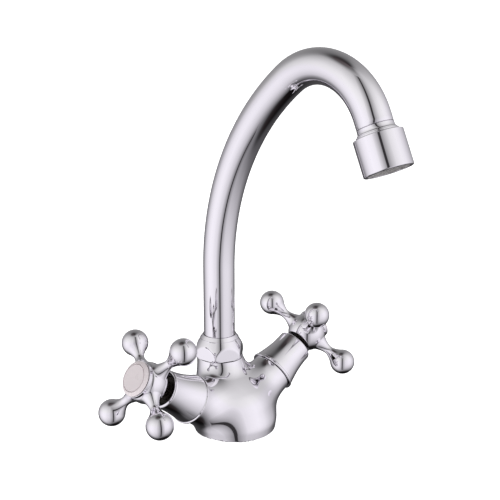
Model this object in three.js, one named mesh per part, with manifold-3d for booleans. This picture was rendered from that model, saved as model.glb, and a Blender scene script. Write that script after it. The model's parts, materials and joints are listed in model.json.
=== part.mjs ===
// Two handle kitchen mixer with a swivelling gooseneck spout and cross handles.
// Millimetres, +Z up. The origin is the centre of the underside of the casting,
// on the sink deck. The spout points along -Y and the handles lie on +X and -X.

import * as THREE from 'three';
import { mergeVertices } from 'three/addons/utils/BufferGeometryUtils.js';
import Module from 'manifold-3d';

const wasm = await Module();
wasm.setup();

// ---------------------------------------------------------------- driving sizes

const FIT = 0.3; // gap between pieces that meet or slide in one another

// casting
const BASE_RADIUS = 22.6;
const FOOT_HEIGHT = 7.4;
const FOOT_TOP_RADIUS = 3;
const FOOT_EDGE_RADIUS = 0.7;
const SHOULDER_RADIUS = 21.8;
const SHOULDER_HEIGHT = 9;
const CHEST_RADIUS = 14.5;
const CHEST_HEIGHT = 23.5;
const CHEST_SETBACK = 8.5;
const FOOT_BLEND = 5;
const CHEST_BLEND = 10;
const ARM_BLEND = 11.75;
const HEART_SETBACK = 5;
const HEART_HEIGHT = 10.8;
const CASTING_DETAIL = 7;

// arms that carry the cartridges
const ARM_TILT = THREE.MathUtils.degToRad(31.4);
const ARM_AXIS_HEIGHT = 5.8;
const ARM_SETBACK = 3;
const ARM_RADIUS = 12.7;
const ARM_LENGTH = 36;

// spout tube and the neck round its foot
const TUBE_RADIUS = 9;
const TUBE_WALL = 1;
const SPIGOT_OVERSIZE = 0.3;
const SPIGOT_WALL = 2.8;
const SPIGOT_CHAMFER = 0.6;
const SPIGOT_CLEARANCE = 1.4;
const NECK_SETBACK = 14.5;
const NECK_TOP = 40;
const NECK_WALL = 1.3;
const NECK_SHOULDER = 2.3;
const NECK_THREAD_LENGTH = 6;
const SPOUT_SOCKET_FLOOR = 28.6;

// sockets and groove in the underside
const HOSE_SOCKET_RADIUS = 4.25;
const HOSE_SOCKET_DEPTH = 10;
const HOSE_SPACING = 17;
const HOSE_SETBACK = 7;
const STUD_SOCKET_RADIUS = 3.4;
const STUD_SOCKET_DEPTH = 12;
const STUD_OFFSET = 11;
const GASKET_INNER_RADIUS = 17.6;
const GASKET_WIDTH = 2.4;
const GASKET_THICKNESS = 1.8;
const WATERWAY_RADIUS = 2.6;

// path of the spout
const SPOUT_BEND_START = 92.8;
const SWEEP_RADIUS = 136.8;
const SWEEP_ANGLE = THREE.MathUtils.degToRad(53.8);
const SWEEP_STEPS = 10;
const CROOK_RADIUS = 36.7;
const CROOK_ANGLE = THREE.MathUtils.degToRad(101.4);
const CROOK_STEPS = 13;
const TUBE_TAIL = 4.6;

// foot of the spout
const SPIGOT_TAIL = 9;
const O_RING_SECTION = 0.62;
const O_RING_SPACING = 6;
const COLLAR_THICKNESS = 2;
const COLLAR_OVERHANG = 1.2;
const SLIP_RING_THICKNESS = 1.2;
const THRUST_RING_THICKNESS = 1;

// spout nut
const NUT_WALL = 1.8;
const NUT_CHAMFER = 1;
const NUT_CHAMFER_HEIGHT = 1.2;
const NUT_FLAT_TOP = 44.6;
const NUT_LIP = 2;
const NUT_RIM_WIDTH = 0.5;
const NUT_TURN = THREE.MathUtils.degToRad(10.8);

// outlet
const OUTLET_COLLAR_LENGTH = 3.9;
const OUTLET_COLLAR_STEP = 0.15;
const OUTLET_COLLAR_STEP_LENGTH = 1.1;
const OUTLET_COLLAR_FLARE = 0.9;
const OUTLET_THREAD_HEIGHT = 1.2;
const OUTLET_THREAD_LENGTH = 6.5;
const OUTLET_TAIL = 4.4;
const HOUSING_WALL = 1.65;
const HOUSING_LENGTH = 17.7;
const HOUSING_EDGE_RADIUS = 0.6;
const HOUSING_LIP = 1.5;
const HOUSING_LIP_WIDTH = 0.8;
const WASHER_THICKNESS = 1.2;
const INSERT_WALL = 1.2;
const INSERT_SLOTS = 6;
const INSERT_SLOT_WIDTH = 1.6;
const INSERT_JET_RADIUS = 0.9;
const SCREEN_THICKNESS = 0.8;

// bonnet sleeve over each cartridge: a bell with a thin lip and a rounded mouth
const SLEEVE_LENGTH = 23.2;
const SLEEVE_LIP_RADIUS = 14;
const SLEEVE_LIP_EDGE = 0.35;
const SLEEVE_LIP_LENGTH = 1;
const SLEEVE_FLARE_RADIUS = 13.4;
const SLEEVE_FLARE_LENGTH = 2.2;
const SLEEVE_WAIST_RADIUS = 10.6;
const SLEEVE_MOUTH_RADIUS = 10.75;
const SLEEVE_MOUTH_EDGE = 1.1;
const SLEEVE_WALL = 1.1;
const SLEEVE_LAND_LENGTH = 3.5;
const SLEEVE_RECESS = 4;

// ceramic cartridge
const SEAT_DISTANCE = 18.3;
const CAGE_RADIUS = 8.9;
const CAGE_LENGTH = 6.4;
const CAGE_WALL = 1;
const CARTRIDGE_THREAD_RADIUS = 10.2;
const HEX_ACROSS_FLATS = 19;
const HEX_THICKNESS = 5;
const CARTRIDGE_NECK_RADIUS = 7.7;
const CARTRIDGE_NECK_LENGTH = 14.5;
const SEAL_THICKNESS = 1;
const DISC_THICKNESS = 1.7;
const DISC_PORT_RADIUS = 1.9;
const DRIVE_FLANGE_THICKNESS = 1.6;
const PORT_HOLE_RADIUS = 3.5;
const SPINDLE_RADIUS = 3.9;
const SPINDLE_TEETH = 16;
const TOOTH_DEPTH = 0.55;
const SPINDLE_TOP = 70.6;
const SPINDLE_RING_SECTION = 0.5;
const CLIP_THICKNESS = 0.8;
const CLIP_WIDTH = 2;
const CLIP_GROOVE_DEPTH = 0.8;

// cross handle
const CROSS_DISTANCE = 71;
const HUB_RADIUS = 11.4;
const HUB_BACK = 8.1;
const HUB_COLLAR_RADIUS = 10.1;
const HUB_COLLAR_FRONT = 8;
const HUB_COLLAR_LENGTH = 1.9;
const HUB_COLLAR_EDGE = 0.4;
const HUB_GROOVE_RADIUS = 9.5;
const HUB_GROOVE_WIDTH = 0.6;
const ARM_BALL_RADIUS = 7.4;
const ARM_BALL_DISTANCE = 28.2;
const ARM_BALL_WRAP = THREE.MathUtils.degToRad(130);
const ARM_NECK_RADIUS = 2.65;
const ARM_NECK_DISTANCE = 17;
const ARM_NECK_EASE = 2.2;
const ARM_ROOT_RADIUS = 5.5;
const HUB_WEB = 1.4;
const SCREW_RADIUS = 2;
const SCREW_LENGTH = 8;
const SCREW_HEAD_RADIUS = 3.6;
const SCREW_HEAD_HEIGHT = 2;
const SCREW_HEAD_EDGE = 0.6;
const SCREW_SLOT_WIDTH = 0.8;
const CAP_RADIUS = 9.6;
const CAP_EDGE = 0.5;
const CAP_FACE_RADIUS = 7.5;
const CAP_GROOVE_WIDTH = 0.4;
const CAP_GROOVE_DEPTH = 0.3;
const CAP_THICKNESS = 1.8;
const CAP_PLUG_RADIUS = 7.8;
const CAP_PLUG_LENGTH = 1.9;
const LEFT_HANDLE_TURN = THREE.MathUtils.degToRad(53.1);
const RIGHT_HANDLE_TURN = THREE.MathUtils.degToRad(41.8);

// facets
const FINE = 20;
const MEDIUM = 12;
const COARSE = 10;

// long enough to pass right through the casting
const FAR = 4 * ARM_LENGTH;

// ---------------------------------------------------------------- materials

const chrome = { color: 0xdcdce2, roughness: 0.07, metalness: 1 };
const brass = { color: 0xc9a25a, roughness: 0.35, metalness: 1 };
const steel = { color: 0xb9bcc0, roughness: 0.3, metalness: 1 };
const rubber = { color: 0x1d1d1f, roughness: 0.85, metalness: 0 };
const whitePlastic = { color: 0xe6e6e1, roughness: 0.5, metalness: 0 };
const greyPlastic = { color: 0xa9a6a6, roughness: 0.55, metalness: 0 };
const ivory = { color: 0xe9dedd, roughness: 0.25, metalness: 0 };
const ceramic = { color: 0xf1efe8, roughness: 0.2, metalness: 0 };

// ---------------------------------------------------------------- shaping helpers

// Merges shared corners, drops slivers and turns the faces outwards.
function tidy(geometry) {
  const plain = geometry.clone();
  plain.deleteAttribute('normal');
  plain.deleteAttribute('uv');
  const merged = mergeVertices(plain, 1e-4);
  const position = merged.getAttribute('position');
  const index = merged.index.array;
  const kept = [];
  let volume = 0;
  const a = new THREE.Vector3();
  const b = new THREE.Vector3();
  const c = new THREE.Vector3();
  for (let i = 0; i < index.length; i += 3) {
    const [p, q, r] = [index[i], index[i + 1], index[i + 2]];
    if (p === q || q === r || r === p) continue;
    kept.push(p, q, r);
    a.fromBufferAttribute(position, p);
    b.fromBufferAttribute(position, q);
    c.fromBufferAttribute(position, r);
    volume += a.dot(b.cross(c));
  }
  if (volume < 0) kept.reverse();
  merged.setIndex(kept);
  return merged;
}

function solid(geometry) {
  const clean = tidy(geometry);
  return new wasm.Manifold(
    new wasm.Mesh({
      numProp: 3,
      vertProperties: new Float32Array(clean.getAttribute('position').array),
      triVerts: new Uint32Array(clean.index.array),
    }),
  );
}

function geometryOf(body) {
  const mesh = body.getMesh();
  const geometry = new THREE.BufferGeometry();
  geometry.setAttribute('position', new THREE.BufferAttribute(new Float32Array(mesh.vertProperties), 3));
  geometry.setIndex(new THREE.BufferAttribute(new Uint32Array(mesh.triVerts), 1));
  return geometry;
}

// A turned shape about Z from [radius, height] points.
function turned(profile, segments = MEDIUM) {
  const points = profile.map(([radius, height]) => new THREE.Vector2(radius, height));
  return new THREE.LatheGeometry(points, segments).rotateX(Math.PI / 2);
}

// A turned ring, tube or washer: its section is a closed loop.
function turnedRing(section, segments = MEDIUM) {
  return turned([...section, section[0]], segments);
}

function washer(inner, outer, bottom, top, segments = MEDIUM) {
  return turnedRing([[inner, bottom], [outer, bottom], [outer, top], [inner, top]], segments);
}

function rod(radius, bottom, top, segments = MEDIUM) {
  return turned([[0, bottom], [radius, bottom], [radius, top], [0, top]], segments);
}

function oRing(radius, section, height, segments) {
  const loop = [];
  for (let i = 0; i < 6; i++) {
    const angle = (i / 6) * 2 * Math.PI;
    loop.push([radius + section * Math.cos(angle), height + section * Math.sin(angle)]);
  }
  return turnedRing(loop, segments);
}

function circle(radius, sides) {
  const points = [];
  for (let i = 0; i < sides; i++) {
    const angle = (i / sides) * 2 * Math.PI;
    points.push(new THREE.Vector2(radius * Math.cos(angle), radius * Math.sin(angle)));
  }
  return points;
}

// Points of an arc in a turned profile, ends included.
function arc(centreRadius, centreHeight, radius, from, to, steps) {
  const points = [];
  for (let i = 0; i <= steps; i++) {
    const angle = from + ((to - from) * i) / steps;
    points.push([centreRadius + radius * Math.cos(angle), centreHeight + radius * Math.sin(angle)]);
  }
  return points;
}

// A round drilling from one point to another.
function drilling(from, to, radius) {
  const path = new THREE.Vector3().subVectors(to, from);
  const geometry = rod(radius, 0, path.length(), COARSE);
  const turn = new THREE.Quaternion().setFromUnitVectors(new THREE.Vector3(0, 0, 1), path.normalize());
  return geometry.applyQuaternion(turn).translate(from.x, from.y, from.z);
}

function hexagon(acrossFlats, bottom, top, turn = 0) {
  const corner = acrossFlats / 2 / Math.cos(Math.PI / 6);
  const prism = new THREE.CylinderGeometry(corner, corner, top - bottom, 6);
  return prism.rotateX(Math.PI / 2).rotateZ(turn).translate(0, 0, (top + bottom) / 2);
}

function piece(name, geometry, finish) {
  const mesh = new THREE.Mesh(tidy(geometry), new THREE.MeshStandardMaterial(finish));
  mesh.name = name;
  return mesh;
}

// ---------------------------------------------------------------- arm frames

// Places local +Z along the axis of one arm. side is +1 for right, -1 for left.
function armMatrix(side) {
  const turn = new THREE.Matrix4().makeRotationY(side * (Math.PI / 2 - ARM_TILT));
  return new THREE.Matrix4().makeTranslation(0, ARM_SETBACK, ARM_AXIS_HEIGHT).multiply(turn);
}

function armPoint(side, across, back, along) {
  return new THREE.Vector3(across, back, along).applyMatrix4(armMatrix(side));
}

// ---------------------------------------------------------------- casting

const SPIGOT_RADIUS = TUBE_RADIUS + SPIGOT_OVERSIZE;
const NECK_THREAD_RADIUS = SPIGOT_RADIUS + FIT + NECK_WALL;
const NECK_RADIUS = NECK_THREAD_RADIUS + NECK_SHOULDER;
const NECK_THREAD_TOP = NECK_TOP + NECK_THREAD_LENGTH;

function smoothUnion(first, second, width) {
  const overlap = Math.max(width - Math.abs(first - second), 0) / width;
  return Math.min(first, second) - (overlap * overlap * width) / 4;
}

// A rod whose radius runs smoothly from one ball to another.
function distanceToRod(point, start, end, startRadius, endRadius) {
  const path = new THREE.Vector3().subVectors(end, start);
  const length = path.length();
  const reach = new THREE.Vector3().subVectors(point, start);
  const along = reach.dot(path) / length;
  const across = Math.sqrt(Math.max(reach.lengthSq() - along * along, 0));
  const sine = (startRadius - endRadius) / length;
  const cosine = Math.sqrt(1 - sine * sine);
  const contact = cosine * along - sine * across;
  if (contact < 0) return Math.hypot(across, along) - startRadius;
  if (contact > cosine * length) return Math.hypot(across, along - length) - endRadius;
  return cosine * across + sine * along - startRadius;
}

function distanceToFoot(point) {
  const aside = Math.hypot(point.x, point.y) - (BASE_RADIUS - FOOT_TOP_RADIUS);
  const above = point.z - (FOOT_HEIGHT - FOOT_TOP_RADIUS);
  const outer = Math.hypot(Math.max(aside, 0), Math.max(above, 0));
  return outer + Math.min(Math.max(aside, above), 0) - FOOT_TOP_RADIUS;
}

function castingDistance(point) {
  let distance = distanceToRod(
    point,
    new THREE.Vector3(0, NECK_SETBACK, FOOT_HEIGHT),
    new THREE.Vector3(0, NECK_SETBACK, NECK_TOP + NECK_RADIUS),
    NECK_RADIUS,
    NECK_RADIUS,
  );
  for (const side of [1, -1]) {
    const root = armPoint(side, 0, 0, 0);
    const tip = armPoint(side, 0, 0, ARM_LENGTH + ARM_RADIUS);
    distance = smoothUnion(distance, distanceToRod(point, root, tip, ARM_RADIUS, ARM_RADIUS), ARM_BLEND);
  }
  const shoulder = distanceToRod(
    point,
    new THREE.Vector3(0, 0, SHOULDER_HEIGHT),
    new THREE.Vector3(0, CHEST_SETBACK, CHEST_HEIGHT),
    SHOULDER_RADIUS,
    CHEST_RADIUS,
  );
  distance = smoothUnion(distance, shoulder, CHEST_BLEND);
  return smoothUnion(distance, distanceToFoot(point), FOOT_BLEND);
}

// Pushes the points of a ball out to the blended surface, seen from a point inside all of its limbs.
function castingSkin() {
  const geometry = new THREE.IcosahedronGeometry(1, CASTING_DETAIL);
  geometry.deleteAttribute('normal');
  geometry.deleteAttribute('uv');
  const ball = mergeVertices(geometry, 1e-5);
  const position = ball.getAttribute('position');
  const heart = new THREE.Vector3(0, HEART_SETBACK, HEART_HEIGHT);
  const reach = ARM_LENGTH + 3 * ARM_RADIUS;
  const ray = new THREE.Vector3();
  const probe = new THREE.Vector3();
  for (let i = 0; i < position.count; i++) {
    ray.fromBufferAttribute(position, i).normalize();
    let outside = reach;
    while (castingDistance(probe.copy(heart).addScaledVector(ray, outside - 1)) > 0) outside -= 1;
    let inside = outside - 1;
    for (let step = 0; step < 14; step++) {
      const middle = (inside + outside) / 2;
      if (castingDistance(probe.copy(heart).addScaledVector(ray, middle)) > 0) outside = middle;
      else inside = middle;
    }
    probe.copy(heart).addScaledVector(ray, outside);
    position.setXYZ(i, probe.x, probe.y, probe.z);
  }
  return ball;
}

// Everything above the deck, with the lower edge of the foot rounded.
function footEnvelope() {
  return turned(
    [
      [0, 0],
      ...arc(BASE_RADIUS - FOOT_EDGE_RADIUS, FOOT_EDGE_RADIUS, FOOT_EDGE_RADIUS, -Math.PI / 2, 0, 2),
      [BASE_RADIUS, SHOULDER_HEIGHT / 2],
      [FAR, SHOULDER_HEIGHT / 2],
      [FAR, FAR],
      [0, FAR],
    ],
    2 * FINE,
  );
}

const SEAL_FACE = SEAT_DISTANCE + FIT + SEAL_THICKNESS;
const CAGE_BOTTOM = SEAL_FACE + FIT;
const CAGE_TOP = CAGE_BOTTOM + CAGE_LENGTH;

function valveBody() {
  let body = solid(castingSkin()).intersect(solid(footEnvelope()));

  // neck: flat shoulder, threaded spigot and the socket that the spout turns in
  body = body.subtract(solid(rod(2 * NECK_RADIUS, NECK_TOP, FAR).translate(0, NECK_SETBACK, 0)));
  const thread = rod(NECK_THREAD_RADIUS, NECK_TOP - 1, NECK_THREAD_TOP, FINE);
  body = body.add(solid(thread.translate(0, NECK_SETBACK, 0)));
  const socket = rod(SPIGOT_RADIUS + FIT, SPOUT_SOCKET_FLOOR, FAR, FINE);
  body = body.subtract(solid(socket.translate(0, NECK_SETBACK, 0)));

  // underside: gasket groove, two hose sockets and the stud socket
  const groove = washer(
    GASKET_INNER_RADIUS - FIT,
    GASKET_INNER_RADIUS + GASKET_WIDTH + FIT,
    -1,
    GASKET_THICKNESS + FIT,
    FINE,
  );
  body = body.subtract(solid(groove));
  body = body.subtract(solid(rod(STUD_SOCKET_RADIUS, -1, STUD_SOCKET_DEPTH).translate(0, -STUD_OFFSET, 0)));

  for (const side of [1, -1]) {
    const toArm = armMatrix(side);
    const hoseX = (side * HOSE_SPACING) / 2;
    body = body.subtract(solid(rod(2 * ARM_RADIUS, ARM_LENGTH, FAR).applyMatrix4(toArm)));
    // stepped cartridge bore: seat, cage room, thread
    const bore = turned(
      [
        [0, SEAT_DISTANCE],
        [CAGE_RADIUS + FIT, SEAT_DISTANCE],
        [CAGE_RADIUS + FIT, CAGE_TOP],
        [CARTRIDGE_THREAD_RADIUS + FIT, CAGE_TOP + FIT],
        [CARTRIDGE_THREAD_RADIUS + FIT, FAR],
        [0, FAR],
      ],
      FINE,
    );
    body = body.subtract(solid(bore.applyMatrix4(toArm)));
    const hoseSocket = rod(HOSE_SOCKET_RADIUS, -1, HOSE_SOCKET_DEPTH);
    body = body.subtract(solid(hoseSocket.translate(hoseX, HOSE_SETBACK, 0)));
    // water in: hose socket to the middle of the seat
    const seatHole = drilling(
      armPoint(side, 0, 0, SEAT_DISTANCE - PORT_HOLE_RADIUS),
      armPoint(side, 0, 0, SEAT_DISTANCE + 1),
      PORT_HOLE_RADIUS,
    );
    body = body.subtract(solid(seatHole));
    const inlet = drilling(
      new THREE.Vector3(hoseX, HOSE_SETBACK, HOSE_SOCKET_DEPTH - WATERWAY_RADIUS),
      armPoint(side, 0, 0, SEAT_DISTANCE - 1),
      WATERWAY_RADIUS,
    );
    body = body.subtract(solid(inlet));
    // mixed water out: cage room to the floor of the spout socket
    const outlet = drilling(
      armPoint(side, 0, CAGE_RADIUS / 2, CAGE_BOTTOM + CAGE_LENGTH / 2),
      new THREE.Vector3(0, NECK_SETBACK, SPOUT_SOCKET_FLOOR + WATERWAY_RADIUS),
      WATERWAY_RADIUS,
    );
    body = body.subtract(solid(outlet));
  }
  return geometryOf(body);
}

function baseGasket() {
  return washer(GASKET_INNER_RADIUS, GASKET_INNER_RADIUS + GASKET_WIDTH, 0, GASKET_THICKNESS, FINE);
}

// ---------------------------------------------------------------- spout joint

const THRUST_BOTTOM = NECK_THREAD_TOP + FIT;
const THRUST_TOP = THRUST_BOTTOM + THRUST_RING_THICKNESS;
const COLLAR_BOTTOM = THRUST_TOP + FIT;
const COLLAR_TOP = COLLAR_BOTTOM + COLLAR_THICKNESS;
const SLIP_BOTTOM = COLLAR_TOP + FIT;
const SLIP_TOP = SLIP_BOTTOM + SLIP_RING_THICKNESS;
const NUT_LIP_BOTTOM = SLIP_TOP + FIT;
const NUT_TOP = NUT_LIP_BOTTOM + NUT_LIP;
const NUT_BOTTOM = NECK_TOP + FIT;
const TUBE_BORE = TUBE_RADIUS - TUBE_WALL;
const COLLAR_RADIUS = TUBE_RADIUS + COLLAR_OVERHANG;
const SPIGOT_BOTTOM = SPOUT_SOCKET_FLOOR + SPIGOT_CLEARANCE;
const SPIGOT_BORE = SPIGOT_RADIUS - SPIGOT_WALL;
const NUT_ACROSS_FLATS = 2 * (NECK_THREAD_RADIUS + FIT + NUT_WALL);

function spoutNut() {
  const corner = NUT_ACROSS_FLATS / 2 / Math.cos(Math.PI / 6);
  const rim = TUBE_RADIUS + FIT + NUT_RIM_WIDTH;
  const rise = NUT_TOP - NUT_FLAT_TOP;
  const dome = new THREE.CubicBezierCurve(
    new THREE.Vector2(corner, NUT_FLAT_TOP),
    new THREE.Vector2(corner, NUT_FLAT_TOP + 0.36 * rise),
    new THREE.Vector2(rim + 0.45 * (corner - rim), NUT_TOP - 0.17 * rise),
    new THREE.Vector2(rim, NUT_TOP),
  );
  const outside = turned(
    [
      [0, NUT_BOTTOM],
      [corner - NUT_CHAMFER, NUT_BOTTOM],
      [corner, NUT_BOTTOM + NUT_CHAMFER_HEIGHT],
      ...dome.getPoints(5).map((point) => [point.x, point.y]),
      [0, NUT_TOP],
    ],
    FINE,
  );
  const inside = turned(
    [
      [0, NUT_BOTTOM - 1],
      [NECK_THREAD_RADIUS + FIT, NUT_BOTTOM - 1],
      [NECK_THREAD_RADIUS + FIT, COLLAR_BOTTOM],
      [COLLAR_RADIUS + FIT, COLLAR_BOTTOM],
      [COLLAR_RADIUS + FIT, NUT_LIP_BOTTOM],
      [TUBE_RADIUS + FIT, NUT_LIP_BOTTOM],
      [TUBE_RADIUS + FIT, NUT_TOP + 1],
      [0, NUT_TOP + 1],
    ],
    FINE,
  );
  const blank = solid(hexagon(NUT_ACROSS_FLATS, NUT_BOTTOM, NUT_TOP, NUT_TURN));
  return geometryOf(blank.intersect(solid(outside)).subtract(solid(inside)));
}

// Grooved foot that turns in the neck; its collar is trapped under the nut.
function spoutFitting() {
  const groove = SPIGOT_RADIUS - 2 * O_RING_SECTION - FIT / 2;
  const half = O_RING_SECTION + FIT;
  const section = [
    [SPIGOT_BORE, SPIGOT_BOTTOM],
    [SPIGOT_RADIUS - SPIGOT_CHAMFER, SPIGOT_BOTTOM],
    [SPIGOT_RADIUS, SPIGOT_BOTTOM + SPIGOT_CHAMFER],
  ];
  for (const height of oRingHeights()) {
    section.push(
      [SPIGOT_RADIUS, height - half],
      [groove, height - half],
      [groove, height + half],
      [SPIGOT_RADIUS, height + half],
    );
  }
  section.push(
    [SPIGOT_RADIUS, COLLAR_BOTTOM],
    [COLLAR_RADIUS, COLLAR_BOTTOM],
    [COLLAR_RADIUS, COLLAR_TOP],
    [TUBE_BORE - FIT, COLLAR_TOP],
    [TUBE_BORE - FIT, COLLAR_TOP + SPIGOT_TAIL],
    [SPIGOT_BORE, COLLAR_TOP + SPIGOT_TAIL],
  );
  return turnedRing(section, MEDIUM);
}

function oRingHeights() {
  const middle = (SPIGOT_BOTTOM + COLLAR_BOTTOM) / 2;
  return [middle - O_RING_SPACING / 2, middle + O_RING_SPACING / 2];
}

function spoutORing(height) {
  return oRing(SPIGOT_RADIUS - O_RING_SECTION, O_RING_SECTION, height, FINE);
}

function thrustRing() {
  return washer(SPIGOT_RADIUS + FIT, NECK_THREAD_RADIUS, THRUST_BOTTOM, THRUST_TOP, FINE);
}

function slipRing() {
  return washer(TUBE_RADIUS + FIT, COLLAR_RADIUS, SLIP_BOTTOM, SLIP_TOP, FINE);
}

// ---------------------------------------------------------------- spout tube

const TUBE_FOOT = COLLAR_TOP + FIT;
const RISER = SPOUT_BEND_START - TUBE_FOOT;
const SWEEP = SWEEP_RADIUS * SWEEP_ANGLE;
const CROOK = CROOK_RADIUS * CROOK_ANGLE;
const TUBE_LENGTH = RISER + SWEEP + CROOK + TUBE_TAIL;

// Centre line of the bent tube in the plane of the spout: forward, up and the turn from upright.
function spoutPoint(distance) {
  const sweepTurn = THREE.MathUtils.clamp((distance - RISER) / SWEEP_RADIUS, 0, SWEEP_ANGLE);
  const crookTurn = THREE.MathUtils.clamp((distance - RISER - SWEEP) / CROOK_RADIUS, 0, CROOK_ANGLE);
  const turn = sweepTurn + crookTurn;
  const tail = Math.max(distance - RISER - SWEEP - CROOK, 0);
  let forward = SWEEP_RADIUS * (1 - Math.cos(sweepTurn));
  let up = TUBE_FOOT + Math.min(distance, RISER) + SWEEP_RADIUS * Math.sin(sweepTurn);
  forward += CROOK_RADIUS * (Math.cos(sweepTurn) - Math.cos(turn)) + tail * Math.sin(turn);
  up += CROOK_RADIUS * (Math.sin(turn) - Math.sin(sweepTurn)) + tail * Math.cos(turn);
  return { forward, up, turn };
}

// Distances at which the tube is faceted: each straight takes one step, each bend even ones.
function tubeStations() {
  const stations = [0];
  for (let i = 0; i <= SWEEP_STEPS; i++) stations.push(RISER + (SWEEP * i) / SWEEP_STEPS);
  for (let i = 1; i <= CROOK_STEPS; i++) stations.push(RISER + SWEEP + (CROOK * i) / CROOK_STEPS);
  stations.push(TUBE_LENGTH);
  return stations;
}

// The centre line for the extrusion, which takes its stations one by one.
class SpoutCurve extends THREE.Curve {
  constructor(stations) {
    super();
    this.stations = stations;
  }

  place(share) {
    const step = Math.round(share * (this.stations.length - 1));
    return spoutPoint(this.stations[step]);
  }

  getPointAt(share, target = new THREE.Vector3()) {
    const { forward, up } = this.place(share);
    return target.set(0, NECK_SETBACK - forward, up);
  }

  getTangentAt(share, target = new THREE.Vector3()) {
    const { turn } = this.place(share);
    return target.set(0, -Math.sin(turn), Math.cos(turn));
  }
}

function spoutTube() {
  const section = new THREE.Shape(circle(TUBE_RADIUS, FINE));
  section.holes.push(new THREE.Path(circle(TUBE_BORE, MEDIUM).reverse()));
  const stations = tubeStations();
  const extrudePath = new SpoutCurve(stations);
  return new THREE.ExtrudeGeometry(section, { steps: stations.length - 1, extrudePath });
}

// Local +Z of the outlet runs along the tip of the tube, from the tube's end.
function outletGroup() {
  const { forward, up, turn } = spoutPoint(TUBE_LENGTH);
  const group = new THREE.Group();
  group.position.set(0, NECK_SETBACK - forward, up);
  group.rotation.x = turn;
  return group;
}

const COLLAR_START = FIT;
const HOUSING_START = COLLAR_START + OUTLET_COLLAR_LENGTH + FIT;
const THREAD_END = HOUSING_START + OUTLET_THREAD_LENGTH;
const HOUSING_END = HOUSING_START + HOUSING_LENGTH;
const OUTLET_THREAD_RADIUS = TUBE_RADIUS + OUTLET_THREAD_HEIGHT;
const HOUSING_BORE = OUTLET_THREAD_RADIUS + FIT;
const HOUSING_RADIUS = HOUSING_BORE + HOUSING_WALL;
const LIP_BORE = HOUSING_BORE - HOUSING_LIP_WIDTH;
const WASHER_START = THREAD_END + FIT;
const INSERT_START = WASHER_START + WASHER_THICKNESS + FIT;
const INSERT_END = HOUSING_END - HOUSING_LIP - FIT;
const INSERT_RADIUS = HOUSING_BORE - FIT;

// Brazed end piece with the flared collar and the thread that the aerator screws on.
function outletCollar() {
  const flareStart = COLLAR_START + OUTLET_COLLAR_STEP_LENGTH;
  const flareEnd = COLLAR_START + OUTLET_COLLAR_LENGTH;
  const flare = new THREE.QuadraticBezierCurve(
    new THREE.Vector2(TUBE_RADIUS + OUTLET_COLLAR_STEP, flareStart),
    new THREE.Vector2(TUBE_RADIUS + OUTLET_COLLAR_STEP, flareEnd - OUTLET_COLLAR_FLARE),
    new THREE.Vector2(TUBE_RADIUS + OUTLET_COLLAR_FLARE, flareEnd),
  );
  return turnedRing(
    [
      [TUBE_BORE - FIT - TUBE_WALL, -OUTLET_TAIL],
      [TUBE_BORE - FIT, -OUTLET_TAIL],
      [TUBE_BORE - FIT, COLLAR_START],
      [TUBE_RADIUS + OUTLET_COLLAR_STEP, COLLAR_START],
      ...flare.getPoints(3).map((point) => [point.x, point.y]),
      [OUTLET_THREAD_RADIUS, flareEnd + FIT],
      [OUTLET_THREAD_RADIUS, THREAD_END],
      [TUBE_BORE - FIT - TUBE_WALL, THREAD_END],
    ],
    FINE,
  );
}

function aeratorHousing() {
  const edge = HOUSING_RADIUS - HOUSING_EDGE_RADIUS;
  return turnedRing(
    [
      [HOUSING_BORE, HOUSING_START],
      ...arc(edge, HOUSING_START + HOUSING_EDGE_RADIUS, HOUSING_EDGE_RADIUS, -Math.PI / 2, 0, 2),
      ...arc(edge, HOUSING_END - HOUSING_EDGE_RADIUS, HOUSING_EDGE_RADIUS, 0, Math.PI / 2, 2),
      [LIP_BORE, HOUSING_END],
      [LIP_BORE, HOUSING_END - HOUSING_LIP],
      [HOUSING_BORE, HOUSING_END - HOUSING_LIP],
    ],
    FINE,
  );
}

function aeratorWasher() {
  return washer(TUBE_BORE - TUBE_WALL, INSERT_RADIUS, WASHER_START, WASHER_START + WASHER_THICKNESS);
}

// Cup with air slots round its wall and jet holes in its top.
function aeratorInsert() {
  const floor = INSERT_START + INSERT_WALL;
  let insert = solid(
    turned(
      [
        [0, INSERT_START],
        [INSERT_RADIUS, INSERT_START],
        [INSERT_RADIUS, INSERT_END],
        [INSERT_RADIUS - INSERT_WALL, INSERT_END],
        [INSERT_RADIUS - INSERT_WALL, floor],
        [0, floor],
      ],
      MEDIUM,
    ),
  );
  for (let i = 0; i < INSERT_SLOTS; i++) {
    const angle = (i / INSERT_SLOTS) * 2 * Math.PI;
    const slot = new THREE.BoxGeometry(3 * INSERT_WALL, INSERT_SLOT_WIDTH, (INSERT_END - floor) / 2);
    slot.translate(INSERT_RADIUS - INSERT_WALL / 2, 0, (INSERT_END + floor) / 2).rotateZ(angle);
    insert = insert.subtract(solid(slot));
    const jet = rod(INSERT_JET_RADIUS, INSERT_START - 1, floor + 1, 6);
    insert = insert.subtract(solid(jet.translate(INSERT_RADIUS / 2, 0, 0).rotateZ(angle)));
  }
  return geometryOf(insert);
}

function aeratorScreen() {
  const middle = HOUSING_END - HOUSING_LIP / 2;
  const half = SCREEN_THICKNESS / 2;
  return rod(LIP_BORE - FIT, middle - half, middle + half, FINE);
}

// ---------------------------------------------------------------- cartridge, local frame of one arm

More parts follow.
